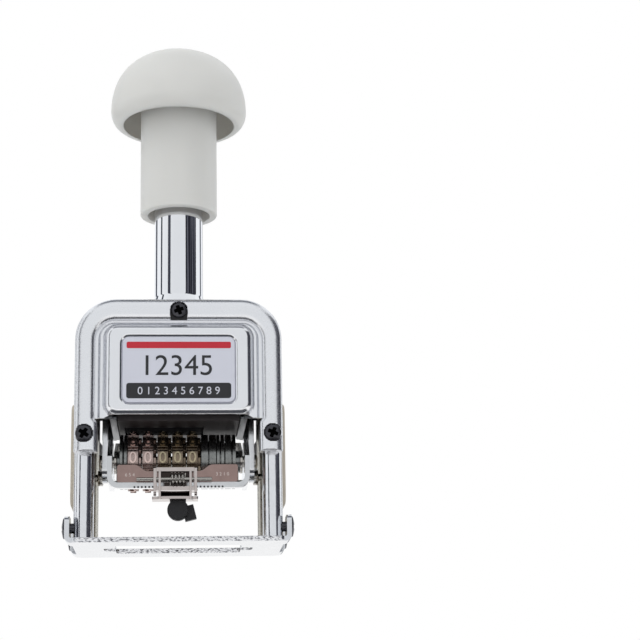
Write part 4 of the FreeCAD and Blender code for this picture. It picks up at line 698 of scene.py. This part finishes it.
def figures(wheel, sizes):
    """Ten raised figures bent round a wheel: x along the shaft, angle = place + height / radius, mirrored to print."""
    low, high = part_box(f"{wheel}_wheel")
    middle = low[0] / MM + WHEEL_WIDTH / 2
    parts = []
    for count in range(10):
        mesh, points = lettering(str((count + 5) % 10), TYPE_RISE)
        wide = np.ptp(points[:, 0])
        angle = math.radians(36 * count) + points[:, 1] * sizes.figure_height / 9.4
        radius = TYPE_RADIUS + points[:, 2]
        x = middle + points[:, 0] * min(sizes.figure_width / wide, sizes.figure_height)
        parts.append((mesh, np.stack([x, radius * np.cos(angle), AXIS_Z + radius * np.sin(angle)], -1)))
    return gather(parts, f"{wheel}_figures")


def printed(text, x, z, height, y):
    """Figures printed on a face that looks to the front."""
    mesh, points = lettering(text, 1.0)
    return mesh, np.stack([x + points[:, 0] * height, y + 0.005 - PRINT_DEPTH * points[:, 2], z + points[:, 1] * height], -1)


def band(x, z, radius, y, depth=0.02, foot=None):
    """A flat patch: a rounded outline in two layers, closed by its rim and two caps, with its own radius below."""
    foot = radius if foot is None else foot
    outline = rounded([(x[0], z[0], foot), (x[1], z[0], foot), (x[1], z[1], radius), (x[0], z[1], radius)], 12)
    count = len(outline)
    front = np.stack([outline[:, 0], np.full(count, y - depth), outline[:, 1]], -1)
    back = front + np.array([0, depth + 0.005, 0])
    faces = [list(range(count)), list(range(2 * count - 1, count - 1, -1))]
    faces += [[i, (i + 1) % count, (i + 1) % count + count, i + count] for i in range(count)]
    return skin(np.concatenate([front, back]), faces)


def ink(name, colour):
    """Screen print: slightly matt, with a little grain at its edges."""
    return moulded(name, colour, 0.9, 0.35, 0.2, 0.001)


def camera():
    """The photograph's camera: yaw to the right, pitch up, then roll about its own axis."""
    yaw, pitch, roll = CAMERA_YAW, CAMERA_PITCH, CAMERA_ROLL
    ahead = Vector((math.sin(yaw) * math.cos(pitch), math.cos(yaw) * math.cos(pitch), math.sin(pitch)))
    level = Vector((math.cos(yaw), -math.sin(yaw), 0))
    above = level.cross(ahead)
    right = math.cos(roll) * level + math.sin(roll) * above
    up = math.cos(roll) * above - math.sin(roll) * level
    data = bpy.data.cameras.new("camera")
    data.sensor_width = SENSOR_WIDTH
    data.lens = FOCAL_PIXELS / PICTURE_WIDTH * SENSOR_WIDTH
    data.clip_start, data.clip_end = 0.01, 20
    eye = bpy.data.objects.new("camera", data)
    turn = Matrix((right, up, -ahead)).transposed().to_4x4()
    eye.matrix_world = Matrix.Translation(Vector(CAMERA_PLACE) * MM) @ turn
    bpy.context.scene.collection.objects.link(eye)
    bpy.context.scene.camera = eye


def flat(name, centre, across, up, material):
    """A rectangle round a centre, spanned by two half sides, all in metres."""
    centre, across, up = np.array(centre), np.array(across), np.array(up)
    corners = [centre - across - up, centre + across - up, centre + across + up, centre - across + up]
    mesh = bpy.data.meshes.new(name)
    mesh.from_pydata([tuple(corner) for corner in corners], [], [(0, 1, 2, 3)])
    mesh.materials.append(material)
    sheet = bpy.data.objects.new(name, mesh)
    bpy.context.scene.collection.objects.link(sheet)
    return sheet


def hide_from_all_but_gloss(sheet):
    """Keeps a card out of the picture, the light and the shadows."""
    sheet.visible_camera = sheet.visible_diffuse = sheet.visible_shadow = sheet.visible_transmission = False


def card(name, azimuth, width, elevation, height, dark, light):
    """A blotched card seen only in reflections, at an azimuth to the right of the camera's side, and its foot."""
    reach = 1.2
    turn, lift = math.radians(azimuth), math.radians(elevation)
    way = np.array([math.sin(turn) * math.cos(lift), -math.cos(turn) * math.cos(lift), math.sin(lift)])
    across = np.array([math.cos(turn), math.sin(turn), 0]) * reach * math.tan(math.radians(width / 2))
    up = np.cross(across / np.linalg.norm(across), way) * reach * math.tan(math.radians(height / 2))
    material, tree, place = start_material(name)
    blotch = add(tree, "MapRange", (grain(tree, place, 90.0, 4.0, (1, 1, 0.2)), 0.52, 0.66, 0, 1))
    tone = add(tree, "Mix", {0: blotch, 6: linear(dark), 7: linear(light)}, **BLEND)
    add(tree, "OutputMaterial", {"Surface": add(tree, "Emission", {"Color": tone})})
    hide_from_all_but_gloss(flat(name, way * reach + np.array([0, 0, 0.06]), across, up, material))
    # Its foot lies on the floor, where a view from above finds it; the front one would darken the photograph's view
    if azimuth:
        outward = np.array([math.sin(turn), -math.cos(turn), 0])
        foot = flat(f"{name}_foot", outward * 0.72 + np.array([0, 0, 0.0002]), across * 0.6, outward * 0.48, material)
        hide_from_all_but_gloss(foot)


def floor():
    """A pale floor seen from above only, that keeps the shadow and fades to white away from the machine."""
    material, tree, place = start_material("pale_floor")
    paper = add(tree, "BsdfDiffuse", {"Color": (0.86, 0.86, 0.86, 1)})
    white = add(tree, "Emission", {"Color": (1, 1, 1, 1), "Strength": 1.0})
    far = add(tree, "VectorMath", (place,), "Value", operation="LENGTH")
    fade = add(tree, "MapRange", (far, 0.12, 0.45, 0, 1))
    seen = add(tree, "LightPath", output="Is Camera Ray")
    share = add(tree, "Math", (fade, seen), operation="MULTIPLY")
    for kind in ("Is Glossy Ray", "Is Transmission Ray"):
        share = add(tree, "Math", (share, add(tree, "LightPath", output=kind)),
                    operation="MAXIMUM")
    shown = add(tree, "MixShader", (share, paper, white))
    behind = add(tree, "NewGeometry", output="Backfacing")
    mixed = add(tree, "MixShader", (behind, shown, add(tree, "BsdfTransparent")))
    add(tree, "OutputMaterial", {"Surface": mixed})
    flat("floor", (0, 0, -0.0001), (1.5, 0, 0), (0, 1.5, 0), material)


def lamp(name, place, size, power):
    """A soft square lamp aimed at the machine."""
    data = bpy.data.lights.new(name, "AREA")
    data.size = size
    data.energy = power
    lit = bpy.data.objects.new(name, data)
    lit.location = place
    lit.visible_glossy = False
    lit.rotation_mode = "QUATERNION"
    lit.rotation_quaternion = (Vector((0, 0, 0.08)) - Vector(place)).to_track_quat("-Z", "Y")
    bpy.context.scene.collection.objects.link(lit)


def world():
    """White to the camera; for light and reflections a little bluer and dimmer in front than behind."""
    sky = bpy.data.worlds.new("white_studio")
    sky.use_nodes = True
    tree = sky.node_tree
    tree.nodes.clear()
    way = add(tree, "TexCoord", output="Generated")
    level = add(tree, "MapRange", (add(tree, "SeparateXYZ", (way,), "Y"), -0.95, 0.2, 0.84, 1.0))
    light = add(tree, "Background", {"Color": (0.96, 0.98, 1, 1), "Strength": level})
    white = add(tree, "Background", {"Color": (1, 1, 1, 1), "Strength": 1.0})
    seen = [add(tree, "LightPath", output=kind) for kind in ("Is Camera Ray", "Is Transmission Ray")]
    either = add(tree, "Math", seen, operation="MAXIMUM")
    add(tree, "OutputWorld", {"Surface": add(tree, "MixShader", (either, light, white))})
    bpy.context.scene.world = sky


class NUMBERING_OT_finishes(bpy.types.Operator):
    """Gives the CAD nodes their finishes"""

    bl_idname = "numbering.finishes"
    bl_label = "Finishes"

    def execute(self, context):
        dress_nodes(materials(context.scene.numbering_colours))
        return {"FINISHED"}


class NUMBERING_OT_metalwork(bpy.types.Operator):
    """Rounds the edges of the castings, sheets and turned parts"""

    bl_idname = "numbering.metalwork"
    bl_label = "Metalwork"

    def execute(self, context):
        sizes, colours = context.scene.numbering_sizes, context.scene.numbering_colours
        # Drawn posts: soft streaks along their length
        drawn = plated("drawn_chrome_post", colours.chrome, 0.88, 0.06, 0.12, 0.5, 0.004, 2.2, 0.02, (1, 1, 0.15))
        # Posts behind: dull, with a darker, warm tone that paints shade and a warm reflection
        dull = plated("dull_post_painted_shade", linear("#D6D2C8")[:3], 0.88, 0.24, 0.15, 0.3, 0.003)
        # Selector parts, handled often: brighter along their rims than the plate behind them
        handled = plated("handled_tinted_nickel", linear("#D2C8C4")[:3], 0.75, 0.1, 0.15, 0.3, 0.002, 2.5, 0.01)
        own = {
            "post_front_left": drawn, "post_front_right": drawn, "post_rear_left": dull, "post_rear_right": dull,
            # Tinted plate and case bar: painted shade behind the selector and in the ticks, painted highlight on their
            # rims
            "scale_plate": sheet_with_painted_shade("tinted_nickel_painted_shade", colours.brown, linear("#EFE6E2"), 4.4, 0.12),
            "case_frame": sheet_with_painted_shade("bright_nickel_painted_shade", linear("#E3E4E6")[:3], linear("#F2F2F4"), 3.2, 0.08),
            # Steel that always lies in shade under the crown, with a dull skin
            "pad_carrier": plated("shaded_steel_carrier", linear("#77797C")[:3], 0.7, 0.25, 0.15, 0.4, 0.004),
            "selector_slide": handled, "selector_lever": handled, "base_plate": sheared_plate_with_painted_glints(),
        }
        for width, nodes in EDGES.items():
            for node in nodes.split():
                softened(node, width * sizes.edge_scale, own.get(node))
        return {"FINISHED"}


class NUMBERING_OT_covers(bpy.types.Operator):
    """Makes the pressed front and rear covers"""

    bl_idname = "numbering.covers"
    bl_label = "Covers"

    def execute(self, context):
        sizes = context.scene.numbering_sizes
        for node, bottom, flare in (("front_cover", 37.7, 0.9), ("rear_cover", 43.5, 0.0)):
            mesh = cover(sizes, bottom, flare, node == "front_cover")
            stand_in(f"{node}_pressing", mesh, node, 50)
        return {"FINISHED"}


class NUMBERING_OT_arches(bpy.types.Operator):
    """Makes the two rounded cast arches"""

    bl_idname = "numbering.arches"
    bl_label = "Arches"

    def execute(self, context):
        # Castings are blasted before plating: softer than the pressed covers between them
        blasted = plated("blasted_chrome_casting", context.scene.numbering_colours.chrome, 0.96, 0.2, 0.12, 0.22,
                         0.004, 8.0, 0.02)
        for node, side in (("front_frame", 1), ("rear_frame", -1)):
            stand_in(f"{node}_casting", arch(context.scene.numbering_sizes, side), node, 40, blasted)
        return {"FINISHED"}


class NUMBERING_OT_label(bpy.types.Operator):
    """Prints plain numbers, a black band and a red rule on the label"""

    bl_idname = "numbering.label"
    bl_label = "Label print"

    def execute(self, context):
        colours, tall = context.scene.numbering_colours, context.scene.numbering_sizes.print_height
        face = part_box("name_plate")[0][1] / MM
        dark, red = ink("black_screen_print", colours.dark), ink("red_screen_print", colours.red)
        pale = ink("silver_screen_print", colours.label)
        dark_row = gather([printed("12345", 0, 52.4, tall, face)], "dark_print")
        foil = band((-16.7, 16.7), (41.2, 61.0), 1.9, face + 0.4, 0.4)
        stand_in("label_foil", foil, "name_plate", 30)
        settle("label_numbers", dark_row, "frame", dark)
        settle("label_band", band((-15.6, 15.6), (42.3, 47.0), 0.8, face), "frame", dark)
        settle("label_rule", band((-15.6, 15.6), (57.6, 59.6), 0.5, face), "frame", red)
        pale_row = gather([printed("0 1 2 3 4 5 6 7 8 9", 0, 44.65, 2.3, face - 0.03)], "pale_print")
        settle("label_pale_numbers", pale_row, "frame", pale)
        return {"FINISHED"}


class NUMBERING_OT_handle(bpy.types.Operator):
    """Turns the neck, the sleeve and the hollow knob"""

    bl_idname = "numbering.handle"
    bl_label = "Handle"

    def execute(self, context):
        neck = rounded([
            (NECK_BORE, NECK_FOOT, 0), (NECK_RADIUS, NECK_FOOT, 0), (NECK_RADIUS, COLLAR_LOW, 0),
            (COLLAR_RADIUS, COLLAR_LOW, 0), (COLLAR_RADIUS, COLLAR_HIGH, 0.7), (NECK_RADIUS, COLLAR_HIGH + 2.3, 1.2),
            (NECK_RADIUS, NECK_TOP, 0.4), (NECK_BORE, NECK_TOP, 0.3)])
        stand_in("neck_plating", lathe(neck), "neck_tube", 30)
        # Round the mouth, up the outside, over the boss inside the knob and down the two bores
        sleeve = rounded([
            (9.8, SLEEVE_LOW, 0.3), (SLEEVE_RADIUS, SLEEVE_LOW, 0.6), (SLEEVE_RADIUS, SLEEVE_HIGH, 0),
            (8.0, SLEEVE_HIGH, 0), (8.0, 150.0, 0), (5.5, 150.0, 0), (5.5, SLEEVE_HIGH, 0), (3.05, SLEEVE_HIGH, 0),
            (3.05, 137.0, 0), (7.75, 137.0, 0), (7.75, 112.2, 0), (9.8, 112.2, 0)])
        stand_in("sleeve_moulding", lathe(sleeve), "handle_sleeve", 30)
        stand_in("knob_moulding", lathe(knob_profile(), False), "knob", 40)
        low, high = np.array(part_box("main_spring")) / MM
        spring = stand_in("return_spring", coil(low[2], high[2], high[0] - 0.7, 0.7, 10), "main_spring", 60)
        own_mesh(spring)
        return {"FINISHED"}


def knob_profile():
    """The knob's outline from its crest over the widest ring and the rim, then up inside to the boss."""

    def shell(radius, top, rim_radius):
        dome = bezier([(0, top), (radius * 0.6, top), (radius, KNOB_WIDEST + (top - KNOB_WIDEST) * 0.65),
                       (radius, KNOB_WIDEST)], 44)
        tuck = bezier([(radius, KNOB_WIDEST), (radius, KNOB_WIDEST - (KNOB_WIDEST - KNOB_RIM) * 0.62),
                       (rim_radius + (radius - rim_radius) * 0.42, KNOB_RIM), (rim_radius, KNOB_RIM)], 16)
        return np.concatenate([dome, tuck[1:]])

    outer = shell(KNOB_RADIUS, KNOB_TOP, KNOB_RIM_RADIUS)
    inner = shell(KNOB_RADIUS - KNOB_WALL, KNOB_TOP - KNOB_WALL, KNOB_RIM_RADIUS - KNOB_WALL / 2)[::-1]
    inner = inner[inner[:, 0] > SLEEVE_RADIUS]
    boss = np.array([(SLEEVE_RADIUS, inner[-1, 1] + 0.1), (SLEEVE_RADIUS, SLEEVE_HIGH), (0, SLEEVE_HIGH)])
    return np.concatenate([outer, inner, boss])


class NUMBERING_OT_screws(bpy.types.Operator):
    """Makes the screws with their cross recesses"""

    bl_idname = "numbering.screws"
    bl_label = "Screws"

    def execute(self, context):
        cross = context.scene.numbering_sizes.cross_width
        oiled, plain = recessed_steel("oiled_black_steel", "#48484C"), recessed_steel("bright_screw_steel", "#C4C0BA")
        screws("base_screw_heads", "base_screws", oiled, [
            (3.1, 1.0, 1.5, 5.0, (x * BASE_SCREW_X, y * BASE_SCREW_Y, BASE_SCREW_Z), (x, 0, 0), 0.4 + 0.5 * x + y,
             cross) for x in (-1, 1) for y in (-1, 1)])
        screws("leg_screw_heads", "leg_screws", oiled, [
            (2.5, 1.3, 1.4, 8.0, (x * LEG_SCREW_X, y * 23.0, LEG_SCREW_Z), (0, y, 0), 0.7 * x + 0.3 * y, cross)
            for x in (-1, 1) for y in (-1, 1)])
        screws("top_screw_heads", "top_screws", oiled, [
            (2.3, 1.1, 1.4, 9.0, (0, y * TOP_SCREW_Y, TOP_SCREW_Z), (0, y, 0), 0.35 * y, cross) for y in (-1, 1)])
        shade_patches = [band((-2.4, 2.4), (BEAM_LOW + 0.06, 72.1), 2.35, -21.3, 0.06, 0) for _ in range(2)]
        seat = gather([(patch, points_of(patch) * np.array([1, side, 1])) for patch, side in zip(shade_patches, (1, -1))],
                      "top_screw_notch_shade")
        # Painted shade: a near-black patch in the casting's notch behind each top screw, so the notch reads as a deep
        # slot
        notch_shade = moulded("painted_shade_in_screw_notch", linear("#151517")[:3], 0.7, 0.5, 0.3, 0.01)
        settle("top_screw_notch_shade", seat, "frame", notch_shade)
        screws("pivot_screw_heads", "pivot_screws", plain, [
            (2.2, 1.2, 0.97, 2.9, (x * PIVOT_X, 0, AXIS_Z), (x, 0, 0), 0.2 + x, cross) for x in (-1, 1)])
        return {"FINISHED"}


class NUMBERING_OT_figures(bpy.types.Operator):
    """Raises the mirrored figures on the five wheels"""

    bl_idname = "numbering.figures"
    bl_label = "Figures"

    def execute(self, context):
        bronze = context.scene.numbering_colours.bronze
        bright = tuple(min(1.0, channel * 1.6) for channel in bronze)
        # Type faces painted lighter than the wheels, a painted highlight on the raised figures: on the left the same
        # bronze, clean and 1.6 times brighter, on the right with ink left on them; both smoother
        clean_type_highlight = plated("clean_type_painted_highlight", bright, 0.7, 0.16, 0.15, 0.3, 0.004, 1.2)
        inky_type_highlight = plated("inky_type_painted_highlight", linear("#C9BC9F")[:3], 0.4, 0.18, 0.15, 0.3, 0.004, 0.8)
        for wheel in WHEELS:
            face = clean_type_highlight if "thousands" in wheel else inky_type_highlight
            settle(f"{wheel}_figures", figures(wheel, context.scene.numbering_sizes), wheel, face)
        return {"FINISHED"}


class NUMBERING_OT_marks(bpy.types.Operator):
    """Lays small plain numbers on the plate in front of the wheels"""

    bl_idname = "numbering.marks"
    bl_label = "Plate marks"

    def execute(self, context):
        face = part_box("scale_plate")[0][1] / MM
        pale = plated("bright_stamped_edge", linear("#D8CCC6")[:3], 0.9, 0.15, 0.1, 0.3, 0.002)
        rows = [printed("6 5 4", -14.6, 21.2, 1.0, face), printed("3 2 1 0", 13.2, 21.3, 1.0, face)]
        settle("plate_marks", gather(rows, "plate_marks"), "case", pale)
        return {"FINISHED"}


class NUMBERING_OT_web(bpy.types.Operator):
    """Closes the selector's lever with its pressed web"""

    bl_idname = "numbering.web"
    bl_label = "Lever web"

    def execute(self, context):
        # Height falls evenly from the knee to the foot, and a small sag in x stiffens it
        x, run = np.meshgrid(np.linspace(-5.3, 3.2, 30), np.linspace(0, 1, 8))
        y = -13.5 + 4.7 * run
        z = 15.95 - 1.85 * run - 0.12 * np.cos((x + 1.05) / 4.25 * np.pi / 2)
        top = np.stack([x, y, z], -1).reshape(-1, 3)
        mesh = skin(top, weave(8, 30))
        # The web is coloured darker than the rest of the lever
        dark = plated("dark_lever_web", linear("#4A4341")[:3], 0.6, 0.25, 0.2, 0.35, 0.004, 2.0)
        web = settle("lever_web", mesh, "lever", dark)
        wall = web.modifiers.new("sheet", "SOLIDIFY")
        wall.thickness = 0.3 * MM
        wall.offset = -1
        return {"FINISHED"}


class NUMBERING_OT_pad(bpy.types.Operator):
    """Makes the inked felt pad"""

    bl_idname = "numbering.pad"
    bl_label = "Ink pad"

    def execute(self, context):
        low, high = np.array(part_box("ink_pad")) / MM
        middle, half = (low + high) / 2, (high - low) / 2
        # A superellipsoid: sine and cosine of two angles, each raised to a small power with its sign kept
        tilt = np.linspace(-np.pi / 2, np.pi / 2, 33)[:, None]
        turn = np.linspace(-np.pi, np.pi, 72, endpoint=False)

        def squared(value, power):
            return np.sign(value) * np.abs(value) ** power

        x = squared(np.cos(tilt), 0.25) * squared(np.cos(turn), 0.16)
        y = squared(np.cos(tilt), 0.25) * squared(np.sin(turn), 0.16)
        z = squared(np.sin(tilt), 0.3) + 0 * turn
        points = middle + half * np.stack([x, y, z], -1)
        pad = stand_in("felt_pad", skin(points.reshape(-1, 3), weave(33, 72, False, True)), "ink_pad", 60)
        return {"FINISHED"}


class NUMBERING_OT_stage(bpy.types.Operator):
    """Makes the floor, the white surroundings, the reflected cards, the lamp and the camera"""

    bl_idname = "numbering.stage"
    bl_label = "Stage"

    def execute(self, context):
        context.scene.view_settings.view_transform = "Standard"
        floor()
        world()
        for name, values in CARDS.items():
            card(name, *values)
        # A small dark card on the floor just in front, for the faces that look down
        shade, tree, _ = start_material("low_card")
        glow = add(tree, "Emission", {"Color": linear("#4C4D52")})
        add(tree, "OutputMaterial", {"Surface": glow})
        hide_from_all_but_gloss(flat("card_low", (0, -0.074, 0.0003), (0.07, 0, 0), (0, 0.044, 0), shade))
        lamp("key", (-0.42, -0.5, 1.0), 0.5, 2.6)
        camera()
        return {"FINISHED"}


class NUMBERING_PT_pieces(bpy.types.Panel):
    """Lists the pieces, the sizes and the colours of the numbering machine"""

    bl_label = "Numbering Machine"
    bl_idname = "NUMBERING_PT_pieces"
    bl_space_type = "VIEW_3D"
    bl_region_type = "UI"
    bl_category = "Numbering Machine"

    def draw(self, context):
        for group in (context.scene.numbering_sizes, context.scene.numbering_colours):
            box = self.layout.box()
            for key in group.bl_rna.properties.keys():
                if key not in ("rna_type", "name"):
                    box.prop(group, key)
        for made in OPERATORS:
            self.layout.operator(made.bl_idname)


OPERATORS = (NUMBERING_OT_finishes, NUMBERING_OT_metalwork, NUMBERING_OT_arches, NUMBERING_OT_covers,
             NUMBERING_OT_label, NUMBERING_OT_handle, NUMBERING_OT_screws, NUMBERING_OT_figures, NUMBERING_OT_marks,
             NUMBERING_OT_web, NUMBERING_OT_pad, NUMBERING_OT_stage)
CLASSES = (NUMBERING_PG_sizes, NUMBERING_PG_colours, *OPERATORS, NUMBERING_PT_pieces)


def register():
    for made in CLASSES:
        bpy.utils.register_class(made)
    bpy.types.Scene.numbering_sizes = PointerProperty(type=NUMBERING_PG_sizes)
    bpy.types.Scene.numbering_colours = PointerProperty(type=NUMBERING_PG_colours)


def unregister():
    del bpy.types.Scene.numbering_colours
    del bpy.types.Scene.numbering_sizes
    for made in reversed(CLASSES):
        bpy.utils.unregister_class(made)


def main():
    """Registers the add-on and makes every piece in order."""
    register()
    for made in OPERATORS:
        getattr(bpy.ops.numbering, made.bl_idname.split(".")[1])()


if __name__ == "__main__":
    main()
